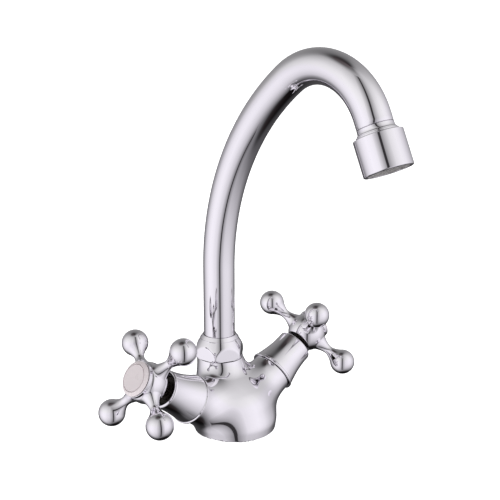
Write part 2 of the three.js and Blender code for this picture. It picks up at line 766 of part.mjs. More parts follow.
const HEX_BOTTOM = ARM_LENGTH + FIT;
const HEX_TOP = HEX_BOTTOM + HEX_THICKNESS;
const NECK_END = HEX_TOP + CARTRIDGE_NECK_LENGTH;
const CAGE_BORE = CAGE_RADIUS - CAGE_WALL;
const DISC_RADIUS = CAGE_BORE - FIT;
const FIXED_DISC_BOTTOM = CAGE_BOTTOM + FIT;
const MOVING_DISC_BOTTOM = FIXED_DISC_BOTTOM + DISC_THICKNESS + FIT;
const DRIVE_BOTTOM = MOVING_DISC_BOTTOM + DISC_THICKNESS + FIT;
const DRIVE_TOP = DRIVE_BOTTOM + DRIVE_FLANGE_THICKNESS;
const CAGE_ROOF = DRIVE_TOP + FIT;
const SPINDLE_BORE = SPINDLE_RADIUS + FIT;

function cartridgeSeal() {
  return washer(PORT_HOLE_RADIUS + FIT, CAGE_RADIUS - FIT, SEAT_DISTANCE + FIT, SEAL_FACE);
}

function cartridgeHousing() {
  let housing = solid(
    turnedRing(
      [
        [CAGE_BORE, CAGE_BOTTOM],
        [CAGE_RADIUS, CAGE_BOTTOM],
        [CAGE_RADIUS, CAGE_TOP],
        [CARTRIDGE_THREAD_RADIUS, CAGE_TOP + 1],
        [CARTRIDGE_THREAD_RADIUS, HEX_BOTTOM],
        [CARTRIDGE_NECK_RADIUS, HEX_BOTTOM],
        [CARTRIDGE_NECK_RADIUS, NECK_END],
        [SPINDLE_BORE, NECK_END],
        [SPINDLE_BORE, CAGE_ROOF],
        [CAGE_BORE, CAGE_ROOF],
      ],
      MEDIUM,
    ),
  );
  const flange = solid(hexagon(HEX_ACROSS_FLATS, HEX_BOTTOM, HEX_TOP));
  housing = housing.add(flange.subtract(solid(rod(CARTRIDGE_NECK_RADIUS - 1, HEX_BOTTOM - 1, HEX_TOP + 1))));
  // two windows that let the water out of the cage
  const window = new THREE.BoxGeometry(4 * CAGE_RADIUS, CAGE_RADIUS, 2 * DISC_THICKNESS);
  window.translate(0, 0, MOVING_DISC_BOTTOM + DISC_THICKNESS / 2);
  housing = housing.subtract(solid(window));
  return geometryOf(housing);
}

// Ceramic disc with two ports; turn is where the ports stand.
function ceramicDisc(bottom, turn) {
  let disc = solid(rod(DISC_RADIUS, bottom, bottom + DISC_THICKNESS));
  for (const side of [1, -1]) {
    const port = rod(DISC_PORT_RADIUS, bottom - 1, bottom + DISC_THICKNESS + 1, COARSE);
    disc = disc.subtract(solid(port.translate((side * DISC_RADIUS) / 2, 0, 0).rotateZ(turn)));
  }
  return geometryOf(disc);
}

const CLIP_BOTTOM = NECK_END + FIT;
const CLIP_TOP = CLIP_BOTTOM + CLIP_THICKNESS;
const CLIP_GROOVE = SPINDLE_RADIUS - CLIP_GROOVE_DEPTH;
const SHANK_RADIUS = SPINDLE_RADIUS - TOOTH_DEPTH + FIT / 2;
const SPLINE_BOTTOM = CLIP_TOP + 2 * FIT;
const SPINDLE_RING_HEIGHT = (HEX_BOTTOM + CAGE_ROOF) / 2;
const RING_GROOVE = SPINDLE_RADIUS - 2 * SPINDLE_RING_SECTION;

// Drive flange, sealed shank and splined end, tapped for the handle screw.
function spindle() {
  const ringHalf = SPINDLE_RING_SECTION + FIT / 2;
  const shank = solid(
    turned(
      [
        [0, DRIVE_BOTTOM],
        [DISC_RADIUS, DRIVE_BOTTOM],
        [DISC_RADIUS, DRIVE_TOP],
        [SPINDLE_RADIUS, DRIVE_TOP],
        [SPINDLE_RADIUS, SPINDLE_RING_HEIGHT - ringHalf],
        [RING_GROOVE, SPINDLE_RING_HEIGHT - ringHalf],
        [RING_GROOVE, SPINDLE_RING_HEIGHT + ringHalf],
        [SPINDLE_RADIUS, SPINDLE_RING_HEIGHT + ringHalf],
        [SPINDLE_RADIUS, CLIP_BOTTOM - FIT / 2],
        [CLIP_GROOVE, CLIP_BOTTOM - FIT / 2],
        [CLIP_GROOVE, CLIP_TOP + FIT / 2],
        [SHANK_RADIUS, CLIP_TOP + FIT / 2],
        [SHANK_RADIUS, SPINDLE_TOP],
        [0, SPINDLE_TOP],
      ],
      MEDIUM,
    ),
  );
  const spline = new THREE.Shape();
  for (let i = 0; i < 2 * SPINDLE_TEETH; i++) {
    const angle = (i / SPINDLE_TEETH) * Math.PI;
    const radius = i % 2 ? SPINDLE_RADIUS - TOOTH_DEPTH : SPINDLE_RADIUS;
    if (i === 0) spline.moveTo(radius, 0);
    else spline.lineTo(radius * Math.cos(angle), radius * Math.sin(angle));
  }
  spline.closePath();
  const depth = SPINDLE_TOP - SPLINE_BOTTOM;
  const teeth = new THREE.ExtrudeGeometry(spline, { depth, bevelEnabled: false });
  const tapping = rod(SCREW_RADIUS + FIT, SCREW_TIP - FIT, SPINDLE_TOP + 1, COARSE);
  return geometryOf(shank.add(solid(teeth.translate(0, 0, SPLINE_BOTTOM))).subtract(solid(tapping)));
}

function spindleRing() {
  const radius = SPINDLE_RADIUS + FIT / 3 - SPINDLE_RING_SECTION;
  return oRing(radius, SPINDLE_RING_SECTION - FIT / 6, SPINDLE_RING_HEIGHT, MEDIUM);
}

// Open spring clip in the spindle's groove, resting on the top of the cartridge.
function retainingClip() {
  const inner = CLIP_GROOVE + FIT;
  const outer = inner + CLIP_WIDTH;
  const ring = solid(washer(inner, outer, CLIP_BOTTOM, CLIP_TOP));
  const mouth = new THREE.BoxGeometry(2 * outer, inner, 4 * CLIP_THICKNESS);
  return geometryOf(ring.subtract(solid(mouth.translate(outer, 0, CLIP_BOTTOM))));
}

// Chromed sleeve that screws on the neck of the cartridge and hides it.
function bonnetSleeve() {
  const start = ARM_LENGTH + FIT;
  const end = start + SLEEVE_LENGTH;
  const bell = new THREE.CubicBezierCurve(
    new THREE.Vector2(SLEEVE_FLARE_RADIUS, start + SLEEVE_FLARE_LENGTH),
    new THREE.Vector2(SLEEVE_FLARE_RADIUS - 1, start + 0.3 * SLEEVE_LENGTH),
    new THREE.Vector2(SLEEVE_WAIST_RADIUS, end - 0.45 * SLEEVE_LENGTH),
    new THREE.Vector2(SLEEVE_MOUTH_RADIUS, end - SLEEVE_MOUTH_EDGE),
  );
  const outside = bell.getPoints(4).map((point) => [point.x, point.y]);
  const inside = bell.getPoints(2).map((point) => [point.x - SLEEVE_WALL, point.y]).reverse();
  const land = CARTRIDGE_NECK_RADIUS + FIT;
  const landTop = end - SLEEVE_RECESS;
  const landBottom = landTop - SLEEVE_LAND_LENGTH;
  const mouth = SLEEVE_MOUTH_RADIUS - SLEEVE_MOUTH_EDGE;
  return turnedRing(
    [
      [SLEEVE_LIP_RADIUS - SLEEVE_LIP_EDGE, start],
      [SLEEVE_LIP_RADIUS, start + SLEEVE_LIP_EDGE],
      [SLEEVE_LIP_RADIUS, start + SLEEVE_LIP_LENGTH],
      ...outside,
      ...arc(mouth, end - SLEEVE_MOUTH_EDGE, SLEEVE_MOUTH_EDGE, 0, Math.PI / 2, 2).slice(1),
      [mouth, landTop],
      [land, landTop],
      [land, landBottom],
      ...inside.filter(([, height]) => height < landBottom),
      [SLEEVE_FLARE_RADIUS - SLEEVE_WALL, start],
    ],
    FINE,
  );
}

// ---------------------------------------------------------------- cross handle, local frame of one arm

const HUB_END = CROSS_DISTANCE - HUB_BACK;
const HUB_FRONT = CROSS_DISTANCE + HUB_COLLAR_FRONT;
const HUB_GROOVE = HUB_FRONT - HUB_COLLAR_LENGTH - HUB_GROOVE_WIDTH;
const SPLINE_BORE_END = SPINDLE_TOP + FIT;
const WEB_FRONT = SPLINE_BORE_END + HUB_WEB;
const SCREW_SEAT = WEB_FRONT + FIT;
const SCREW_TIP = SCREW_SEAT - SCREW_LENGTH;
const CAP_FACE = HUB_FRONT + FIT;
const PLUG_END = CAP_FACE - CAP_PLUG_LENGTH;

// One arm of the cross along local +X: a fillet off the hub, a thin neck and a ball.
function crossArm() {
  const wrap = Math.PI / 2 - ARM_BALL_WRAP;
  const ball = arc(0, ARM_BALL_DISTANCE, ARM_BALL_RADIUS, wrap, Math.PI / 2, 5);
  const [ballRadius, ballDistance] = ball[0];
  const intoNeck = new THREE.Vector2(Math.sin(wrap), -Math.cos(wrap));
  const rootDistance = Math.sqrt(HUB_RADIUS * HUB_RADIUS - ARM_ROOT_RADIUS * ARM_ROOT_RADIUS);
  const offHub = new THREE.Vector2(-rootDistance, ARM_ROOT_RADIUS).divideScalar(HUB_RADIUS);
  const root = new THREE.CubicBezierCurve(
    new THREE.Vector2(ARM_ROOT_RADIUS, rootDistance),
    new THREE.Vector2(ARM_ROOT_RADIUS, rootDistance).addScaledVector(offHub, ARM_NECK_EASE / 2),
    new THREE.Vector2(ARM_NECK_RADIUS, ARM_NECK_DISTANCE - ARM_NECK_EASE),
    new THREE.Vector2(ARM_NECK_RADIUS, ARM_NECK_DISTANCE),
  );
  const tail = new THREE.CubicBezierCurve(
    new THREE.Vector2(ARM_NECK_RADIUS, ARM_NECK_DISTANCE),
    new THREE.Vector2(ARM_NECK_RADIUS, ARM_NECK_DISTANCE + ARM_NECK_EASE),
    new THREE.Vector2(ballRadius, ballDistance).addScaledVector(intoNeck, ARM_NECK_EASE),
    new THREE.Vector2(ballRadius, ballDistance),
  );
  const profile = [
    [0, HUB_RADIUS / 2],
    [ARM_ROOT_RADIUS, HUB_RADIUS / 2],
    ...root.getPoints(2).map((point) => [point.x, point.y]),
    ...tail.getPoints(2).slice(1, -1).map((point) => [point.x, point.y]),
    ...ball.slice(0, -1),
    [0, ARM_BALL_DISTANCE + ARM_BALL_RADIUS],
  ];
  return turned(profile, COARSE).rotateY(Math.PI / 2);
}

function crossHandle(turn) {
  const backAngle = -Math.asin(HUB_BACK / HUB_RADIUS);
  const frontAngle = Math.asin((HUB_GROOVE - HUB_GROOVE_WIDTH - CROSS_DISTANCE) / HUB_RADIUS);
  let handle = solid(
    turned(
      [
        [0, HUB_END],
        ...arc(0, CROSS_DISTANCE, HUB_RADIUS, backAngle, frontAngle, 6),
        [HUB_GROOVE_RADIUS, HUB_GROOVE],
        [HUB_COLLAR_RADIUS, HUB_GROOVE + HUB_GROOVE_WIDTH],
        [HUB_COLLAR_RADIUS, HUB_FRONT - HUB_COLLAR_EDGE],
        [HUB_COLLAR_RADIUS - HUB_COLLAR_EDGE, HUB_FRONT],
        [0, HUB_FRONT],
      ],
      FINE,
    ),
  );
  for (let i = 0; i < 4; i++) {
    const arm = crossArm().rotateZ(turn + (i * Math.PI) / 2).translate(0, 0, CROSS_DISTANCE);
    handle = handle.add(solid(arm));
  }
  const bore = turned([
    [0, HUB_END - 1],
    [SPINDLE_RADIUS + FIT, HUB_END - 1],
    [SPINDLE_RADIUS + FIT, SPLINE_BORE_END],
    [SCREW_RADIUS + FIT, SPLINE_BORE_END],
    [SCREW_RADIUS + FIT, WEB_FRONT],
    [SCREW_HEAD_RADIUS + FIT, WEB_FRONT],
    [SCREW_HEAD_RADIUS + FIT, PLUG_END - FIT],
    [CAP_PLUG_RADIUS + FIT, PLUG_END - FIT],
    [CAP_PLUG_RADIUS + FIT, HUB_FRONT + 1],
    [0, HUB_FRONT + 1],
  ]);
  return geometryOf(handle.subtract(solid(bore)));
}

function handleScrew() {
  const head = SCREW_SEAT + SCREW_HEAD_HEIGHT;
  const screw = solid(
    turned(
      [
        [0, SCREW_TIP],
        [SCREW_RADIUS, SCREW_TIP],
        [SCREW_RADIUS, SCREW_SEAT],
        [SCREW_HEAD_RADIUS, SCREW_SEAT],
        [SCREW_HEAD_RADIUS, head - SCREW_HEAD_EDGE],
        [SCREW_HEAD_RADIUS - SCREW_HEAD_EDGE, head],
        [0, head],
      ],
      COARSE,
    ),
  );
  const slot = new THREE.BoxGeometry(3 * SCREW_HEAD_RADIUS, SCREW_SLOT_WIDTH, SCREW_HEAD_HEIGHT);
  return geometryOf(screw.subtract(solid(slot.translate(0, 0, head))));
}

// Bare index cap: a flat disc inside a sloping ring, with a plug behind.
function indexCap() {
  const front = CAP_FACE + CAP_THICKNESS;
  return turned(
    [
      [0, PLUG_END],
      [CAP_PLUG_RADIUS, PLUG_END],
      [CAP_PLUG_RADIUS, CAP_FACE],
      [CAP_RADIUS, CAP_FACE],
      [CAP_RADIUS, CAP_FACE + CAP_EDGE],
      [CAP_FACE_RADIUS + CAP_GROOVE_WIDTH, front],
      [CAP_FACE_RADIUS, front - CAP_GROOVE_DEPTH],
      [CAP_FACE_RADIUS - CAP_GROOVE_WIDTH, front],
      [0, front],
    ],
    FINE,
  );
}

// ---------------------------------------------------------------- assembly

function arm(prefix, side, handleTurn) {
  const group = new THREE.Group();
  group.applyMatrix4(armMatrix(side));
  const closed = Math.PI / 2;
  group.add(
    piece(`${prefix}_cartridge_seal`, cartridgeSeal(), rubber),
    piece(`${prefix}_cartridge_housing`, cartridgeHousing(), brass),
    piece(`${prefix}_fixed_disc`, ceramicDisc(FIXED_DISC_BOTTOM, 0), ceramic),
    piece(`${prefix}_moving_disc`, ceramicDisc(MOVING_DISC_BOTTOM, closed), ceramic),
    piece(`${prefix}_spindle`, spindle(), brass),
    piece(`${prefix}_spindle_ring`, spindleRing(), rubber),
    piece(`${prefix}_retaining_clip`, retainingClip(), steel),
    piece(`${prefix}_bonnet_sleeve`, bonnetSleeve(), chrome),
    piece(`${prefix}_cross_handle`, crossHandle(handleTurn), chrome),
    piece(`${prefix}_handle_screw`, handleScrew(), steel),
    piece(`${prefix}_index_cap`, indexCap(), ivory),
  );
  return group;
}

const faucet = new THREE.Group();
faucet.name = 'two_handle_mixer';

faucet.add(piece('valve_body', valveBody(), chrome));
faucet.add(piece('base_gasket', baseGasket(), rubber));

const neck = new THREE.Group();
neck.position.set(0, NECK_SETBACK, 0);
const [lowerRing, upperRing] = oRingHeights();
neck.add(
  piece('spout_nut', spoutNut(), chrome),
  piece('spout_fitting', spoutFitting(), brass),
  piece('spout_o_ring_lower', spoutORing(lowerRing), rubber),
  piece('spout_o_ring_upper', spoutORing(upperRing), rubber),
  piece('spout_thrust_ring', thrustRing(), whitePlastic),
  piece('spout_slip_ring', slipRing(), whitePlastic),
);
faucet.add(neck);

faucet.add(piece('spout_tube', spoutTube(), chrome));

const outlet = outletGroup();
outlet.add(
  piece('outlet_collar', outletCollar(), chrome),
  piece('aerator_housing', aeratorHousing(), chrome),
  piece('aerator_washer', aeratorWasher(), rubber),
  piece('aerator_insert', aeratorInsert(), whitePlastic),
  piece('aerator_screen', aeratorScreen(), greyPlastic),
);
faucet.add(outlet);

faucet.add(arm('left', -1, LEFT_HANDLE_TURN));
faucet.add(arm('right', 1, RIGHT_HANDLE_TURN));

export default faucet;
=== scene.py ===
import json
import math

import bmesh
import bpy
import numpy as np
from mathutils import Matrix, Vector


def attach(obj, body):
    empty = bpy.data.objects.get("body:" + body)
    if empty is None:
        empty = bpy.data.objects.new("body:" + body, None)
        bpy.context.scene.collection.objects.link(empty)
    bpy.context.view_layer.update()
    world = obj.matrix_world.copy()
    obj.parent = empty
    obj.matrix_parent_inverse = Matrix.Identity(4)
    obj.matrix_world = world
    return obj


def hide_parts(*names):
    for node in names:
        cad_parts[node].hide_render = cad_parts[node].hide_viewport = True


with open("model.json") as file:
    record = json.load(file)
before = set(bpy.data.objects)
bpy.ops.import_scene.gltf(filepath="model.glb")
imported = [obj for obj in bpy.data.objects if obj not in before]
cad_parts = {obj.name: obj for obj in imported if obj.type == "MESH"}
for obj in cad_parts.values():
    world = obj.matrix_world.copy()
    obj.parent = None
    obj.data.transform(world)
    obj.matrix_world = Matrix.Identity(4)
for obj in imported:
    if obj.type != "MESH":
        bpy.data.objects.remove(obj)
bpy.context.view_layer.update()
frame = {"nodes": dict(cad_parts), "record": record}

# Lengths are in millimetres in this script and become metres when a mesh is made.
METRES = 0.001
FIT = 0.3  # between the nut and what it goes over
FINE_ROUND = 0.1  # a fine edge
TURNED_SIDES = 128
FINE_TURNED_SIDES = 192  # where pockets are cut in a turned shape
TOOL_SIDES = 96
ROUND_STEPS = 6
HOLD = 0.08  # how far beyond a round its holding point lies, as a share of the round
SHARP_ANGLE = math.radians(35)

# casting: one tapering rod from shoulder to chest, blended with the arms, the neck and the foot
BASE_RADIUS = 22.6
FOOT_HEIGHT = 7.4
FOOT_TOP_RADIUS = 3
FOOT_EDGE_RADIUS = 0.7
SHOULDER_RADIUS = 20.8
SHOULDER_HEIGHT = 9
CHEST_RADIUS = 14.5
CHEST_HEIGHT = 24
CHEST_SETBACK = 8
FOOT_BLEND = 8
ARM_BLEND = 13
NECK_BLEND = 7
FOOT_CORE_RADIUS = 21.2
HEART = (0.0, 5.0, 10.8)  # a point inside every limb
SKIN_GRID = 0.9
BALL_SUBDIVISIONS = 6
HALVINGS = 12  # of the last millimetre along a ray
SETTLING_STEPS = 6
ON_SKIN = 0.06  # a vertex this near the distance field is on the skin
ALIGNED = 0.8  # least cosine between a face of the skin and the field's slope

# arms of the casting
ARM_TILT = math.radians(31.4)
ARM_AXIS_HEIGHT = 5.8
ARM_SETBACK = 3
ARM_RADIUS = 12.7
ARM_LENGTH = 36

# neck and underside
NECK_SETBACK = 14.5
NECK_RADIUS = 13.2
NECK_TOP = 40
NECK_THREAD_RADIUS = 10.9
NECK_THREAD_LENGTH = 6
SPOUT_SOCKET_RADIUS = 9.6
SPOUT_SOCKET_FLOOR = 28.6
HOSE_SOCKET = (4.25, 10, 8.5, 7)  # radius, depth, x and y of the two sockets
STUD_SOCKET = (3.4, 12, -11)  # radius, depth and y
GASKET_GROOVE = (17.3, 20.3, 2.1)  # inner and outer radius, depth
CARTRIDGE_BORE_RADIUS = 10.5
CARTRIDGE_BORE_FLOOR = 18.3

# spout
TUBE_RADIUS = 9
TUBE_WALL = 1
TUBE_FOOT = 49.9
BEND_START = 92.8
SWEEP_RADIUS = 136.8
SWEEP_ANGLE = math.radians(53.8)
CROOK_RADIUS = 36.7
CROOK_ANGLE = math.radians(101.4)
TUBE_TAIL = 4.6
TUBE_END_ROUND = 0.2
TUBE_SIDES = 96
TUBE_STEPS = 260

# outlet, distances along its axis from the tube's end
COLLAR_BORE = 6.7
COLLAR_SPIGOT_RADIUS = 7.7
COLLAR_SPIGOT_START = -6
COLLAR_FACE = 0.3
# the flare's curve, then the corners of the fine steps below it: radius and distance
COLLAR_FLARE = ((9.02, COLLAR_FACE), (9.0, 1.7), (9.15, 2.4), (9.5, 2.75))
COLLAR_STEPS = ((9.8, 2.9), (9.9, 3.35), (10.3, 3.5), (10.4, 4.1), (10.85, 4.3))
FLARE_STEPS = 12
COLLAR_END = 11
COLLAR_END_ROUND = 0.3
HOUSING_START = 4.5
HOUSING_END = 22.2
HOUSING_BORE = 11.2
HOUSING_RADIUS = 12.15
HOUSING_START_ROUND = 0.35
HOUSING_END_ROUND = 0.55
LIP_START = 20.7
LIP_RADIUS = 10.4
LIP_ROUND = 0.2
KEY_POCKET = (20.9, 21.8)  # start and end of the pockets for the key
KEY_POCKET_SLOPE = 0.1
KEY_POCKET_RADIUS = 11.0
KEY_HALF_ANGLE = math.radians(6)
SCREEN_TOP = 21.1
SCREEN_FACE = 21.8
SCREEN_RADIUS = 10.1
SCREEN_RIM_BORE = 9.3
SCREEN_RIM_ROUND = 0.15
SCREEN_NOTCH = 0.15  # height that a notch for the key leaves of the rim
BAR_PITCH = 1.15
BAR_WIDTH = 0.42
BAR_REACH = 9.5
BAR_STEP = 0.12  # between the faces of the crossing bars
BAR_BACK = 0.1  # from the screen's top to the backs of the bars
NEAR = 0.05  # margin by which points at a given height or radius are told from others

# spout nut
NUT_HALF_WIDTH = 13
NUT_BOTTOM = 40.3
NUT_CHAMFER = (1, 1.2)  # width and height
NUT_CHAMFER_ROUND = 0.4
NUT_BOTTOM_ROUND = 0.15
NUT_FLAT_TOP = 42.4
NUT_TOP = 53.4
NUT_LIP = 2
NUT_RIM_WIDTH = 0.5
NUT_DOME = (0.2, 0.62, 0.49)  # rise of its curve's first handle, width and drop of its second, as shares
NUT_TURN = math.radians(10.8)
NUT_EDGE = 0.5
NUT_SIDES = 360
NUT_DOME_STEPS = 60
NUT_FLAT_ROWS = 8

# bonnet sleeve, distances along the arm
SLEEVE_START = 36.3
SLEEVE_END = 59.5
SLEEVE_LIP_RADIUS = 14
SLEEVE_LIP_WIDTH = 1.2
SLEEVE_LIP_ROUND = 0.35
SLEEVE_FLARE_RADIUS = 13.4
SLEEVE_FLARE_START = 1.6  # beyond the sleeve's start, as is the bell's
SLEEVE_FLARE_ROUND = 0.3
SLEEVE_BELL_START = 2.2
SLEEVE_BELL_HANDLES = (0.3, 0.45)  # reach of the bell's curve from both ends, as shares of the length
SLEEVE_WAIST_RADIUS = 10.6
SLEEVE_MOUTH_RADIUS = 10.75
SLEEVE_MOUTH_EDGE = 1.1
SLEEVE_WALL = 1.1
SLEEVE_BORE = 8
SLEEVE_RECESS = 4
SLEEVE_FLOOR = 3.5
LINING_GAP = 0.5  # from the back of the floor to the bell's lining
BELL_STEPS = 48
MOUTH_STEPS = 10

# cross handle and cap, distances along the arm
CROSS_DISTANCE = 71
HUB_RADIUS = 11.4
HUB_BACK = 62.9
HUB_BORE_RADIUS = 4.2
HUB_BORE_END = 64.5
HUB_BALL_END = 75.7
HUB_SEAM = ((9.75, 76.35, 0), (9.5, 76.6, 0.15))  # radius, distance and round of the corners behind the rim
HUB_RIM_RADIUS = 10.1
HUB_RIM_START = 77.1
HUB_RIM_ROUND = 0.25
HUB_FRONT = 79
HUB_CUP_RADIUS = 8.1
HUB_CUP_FLOOR = 76.9
ARM_BALL_RADIUS = 7.4
ARM_BALL_DISTANCE = 28.2
ARM_BALL_WRAP = math.radians(130)
ARM_NECK_RADIUS = 2.65
ARM_NECK_DISTANCE = 17
ARM_NECK_EASE = 2.2
ARM_ROOT_RADIUS = 5.5
ARM_SIDES = 64
BALL_STEPS = 48
NECK_STEPS = 20
LEFT_TURN = math.radians(53.1)
RIGHT_TURN = math.radians(41.8)
CAP_BACK = 77.4
CAP_PLUG_RADIUS = 7.8
CAP_FACE = 79.3
CAP_RADIUS = 9.6
CAP_EDGE = 0.55
CAP_EDGE_ROUND = 0.3
CAP_HEIGHT = 1.8
# corners from the ring to the disc, with the groove between them: radius, depth from the front and round
CAP_FRONT = (
    (8.1, 0.12, 0.25),
    (7.8, 0.1, 0.08),
    (7.7, 0.8, 0.05),
    (7.45, 0.8, 0.05),
    (7.35, 0.05, 0.08),
    (7.0, 0, 0.3),
)

# camera, from the perspective of the photograph
CAMERA_PLACE = (-343.49, -392.89, 244.07)
CAMERA_RIGHT = (0.74262, -0.66972, 0.0)
CAMERA_UP = (0.17113, 0.18976, 0.96680)
FOCAL_PIXELS = 970.41
FRAME_PIXELS = 500
SENSOR = 36.0
CAMERA_SIDE = math.atan2(CAMERA_PLACE[1], CAMERA_PLACE[0])

# floor and the far wall behind it
FLOOR_REACH = 60000
FLOOR_GREY = 0.93
FLOOR_ROUGHNESS = 0.9
FLOOR_GLOW = 0.86
WALL_DISTANCE = 8000
WALL_HEIGHTS = (-1000, 24000)
WALL_SIDES = 96

# brightness of the light tent: all round, by the turn off the camera's side in degrees
TENT_AROUND = (
    (-180, 0.30), (-160, 0.30), (-140, 0.35), (-125, 0.46), (-110, 0.70), (-90, 0.89), (-70, 0.98),
    (-50, 0.95), (-30, 0.84), (0, 0.72), (30, 0.80), (50, 0.90), (70, 0.95), (90, 0.89), (110, 0.72),
    (130, 0.54), (145, 0.40), (160, 0.30), (180, 0.30),
)
# and its dark patches: turn and height of the middle, then brightness by the angle from there
WARM_GREY = (0.125, 0.108, 0.110, 1)
TENT_WHITE = (1.0, 0.985, 1.03, 1)
TENT_TOP = (-120, 78, (
    (0, WARM_GREY), (10, WARM_GREY), (15, 0.22), (20, 0.4), (27, 0.58), (38, 0.70), (48, 0.81),
    (57, 0.90), (66, 0.95), (80, TENT_WHITE),
))
BROWN_GREY = (0.034, 0.028, 0.028, 1)
TENT_BOTTOM = (130, -75, (
    (0, BROWN_GREY), (12, BROWN_GREY), (16, 0.06), (22, 0.18), (30, 0.31), (40, 0.49), (50, 0.66),
    (60, 0.78), (70, 0.88), (80, 0.96), (90, 1.0),
))
TENT_BACK = (180, -45, ((0, 0.3), (28, 0.32), (42, 0.6), (56, 1.0)))

# the gap in the tent's curtain: x and y, lowest and highest point, and its darkness by the distance from
# its middle line
SLIT_PLACE = (-189, -263)
SLIT_HEIGHTS = (-700, 1000)
SLIT_HALF_WIDTH = 180
SLIT_SHADE = ((0, 0.98), (20, 0.98), (27, 0.60), (45, 0.48), (95, 0.26), (SLIT_HALF_WIDTH, 0))
SLIT_COLOUR = (0.02, 0.018, 0.02, 1)

# lamp over the object, in metres and watts
LAMP_HEIGHT = 2.2
LAMP_SIZE = 2.5
LAMP_POWER = 14


# ------------------------------------------------------------------ meshes

def make_object(name, vertices, faces, matrix=None):
    """A mesh object from points in millimetres, placed by a matrix."""
    points = np.asarray(vertices, float)
    if matrix is not None:
        points = points @ matrix[:3, :3].T + matrix[:3, 3]
    mesh = bpy.data.meshes.new(name)
    mesh.from_pydata((points * METRES).tolist(), [], faces)
    mesh.validate()
    piece = bpy.data.objects.new(name, mesh)
    bpy.context.collection.objects.link(piece)
    return piece


def smooth(piece):
    """Smooth shading, except across sharp edges."""
    piece.data.polygons.foreach_set("use_smooth", [True] * len(piece.data.polygons))
    piece.data.set_sharp_from_angle(angle=SHARP_ANGLE)


def lathe(profile, segments=TURNED_SIDES, closed=False):
    """Points and faces of a turned shape about Z. A closed profile makes a ring."""
    vertices, rings = [], []
    for radius, height in profile:
        if radius < 1e-6:
            rings.append([len(vertices)])
            vertices.append((0.0, 0.0, height))
            continue
        rings.append(list(range(len(vertices), len(vertices) + segments)))
        for i in range(segments):
            angle = 2 * math.pi * i / segments
            vertices.append((radius * math.cos(angle), radius * math.sin(angle), height))
    faces = []
    pairs = list(zip(rings, rings[1:]))
    if closed:
        pairs.append((rings[-1], rings[0]))
    for lower, upper in pairs:
        for i in range(segments):
            j = (i + 1) % segments
            if len(lower) == 1 and len(upper) == 1:
                continue
            if len(lower) == 1:
                faces.append((lower[0], upper[j], upper[i]))
            elif len(upper) == 1:
                faces.append((lower[i], lower[j], upper[0]))
            else:
                faces.append((lower[i], lower[j], upper[j], upper[i]))
    return vertices, faces


def rounded(corners, closed=True):
    """A profile with rounded corners, each given as radius, height and fillet.

    A point close beside each round holds the shading of the faces next to it.
    """
    count = len(corners)
    profile = []
    for i, (x, y, fillet) in enumerate(corners):
        here = np.array((x, y), float)
        if fillet <= 0 or (not closed and i in (0, count - 1)):
            profile.append(tuple(here))
            continue
        before = np.array(corners[i - 1][:2], float) - here
        after = np.array(corners[(i + 1) % count][:2], float) - here
        before /= np.linalg.norm(before)
        after /= np.linalg.norm(after)
        half = math.acos(max(-1.0, min(1.0, float(before @ after)))) / 2
        reach = fillet / math.tan(half)
        centre = here + (before + after) / np.linalg.norm(before + after) * fillet / math.sin(half)
        start, end = here + before * reach, here + after * reach
        profile.append(tuple(start + before * HOLD * fillet))
        first = start - centre
        last = end - centre
        turn = math.atan2(first[0] * last[1] - first[1] * last[0], float(first @ last))
        for step in range(ROUND_STEPS + 1):
            angle = turn * step / ROUND_STEPS
            spin = np.array(((math.cos(angle), -math.sin(angle)), (math.sin(angle), math.cos(angle))))
            profile.append(tuple(centre + spin @ first))
        profile.append(tuple(end + after * HOLD * fillet))
    return profile


def bezier(p0, p1, p2, p3, steps):
    share = np.linspace(0, 1, steps + 1)[:, None]
    points = (
        (1 - share) ** 3 * np.array(p0)
        + 3 * share * (1 - share) ** 2 * np.array(p1)
        + 3 * share**2 * (1 - share) * np.array(p2)
        + share**3 * np.array(p3)
    )
    return [tuple(point) for point in points]


def arc(centre_radius, centre_height, radius, start, end, steps):
    angles = np.linspace(start, end, steps + 1)
    return [(centre_radius + radius * math.cos(a), centre_height + radius * math.sin(a)) for a in angles]


def outward(piece):
    """Turns all faces outwards."""
    work = bmesh.new()
    work.from_mesh(piece.data)
    bmesh.ops.recalc_face_normals(work, faces=work.faces)
    work.to_mesh(piece.data)
    work.free()


def dress(piece, body, node, slot, *materials):
    """Gives a piece its materials, and says which body it rides and which node it replaces. The slot is not
    used.
    """
    for material in materials:
        piece.data.materials.append(material)
    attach(piece, body)
    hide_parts(node)
    return piece


def turned_piece(name, profile, matrix, closed=True):
    vertices, faces = lathe(profile, closed=closed)
    piece = make_object(name, vertices, faces, matrix)
    outward(piece)
    smooth(piece)
    return piece


def arm_matrix(side):
    """Local +Z along the axis of one arm; side is 1 for right and -1 for left."""
    turn = Matrix.Rotation(side * (math.pi / 2 - ARM_TILT), 4, "Y")
    return np.array(Matrix.Translation((0, ARM_SETBACK, ARM_AXIS_HEIGHT)) @ turn)


# ------------------------------------------------------------------ materials

NOISE_SPAN = (0.3, 0.7)  # the range that noise values mostly keep to
TONE_SCALE = 60.0
GLOSS_SCALE = 140.0
GRAIN_DEPTH = 0.00002  # metres
CHROME_COLOUR = (0.935, 0.91, 0.955, 1)
CHROME_ROUGHNESS = (0.025, 0.05)
CHROME_GLOSS_SCALE = 90.0
CHROME_WAVE_SCALE = 45.0
CHROME_WAVE_STRENGTH = 0.12
CHROME_WAVE_DEPTH = 0.00006  # metres


def blank_material(name):
    material = bpy.data.materials.new(name)
    material.use_nodes = True
    return material, material.node_tree.nodes, material.node_tree.links


def math_node(nodes, links, operation, *inputs):
    node = nodes.new("ShaderNodeMath")
    node.operation = operation
    for socket, value in zip(node.inputs, inputs):
        if isinstance(value, (int, float)):
            socket.default_value = value
        else:
            links.new(value, socket)
    return node.outputs[0]


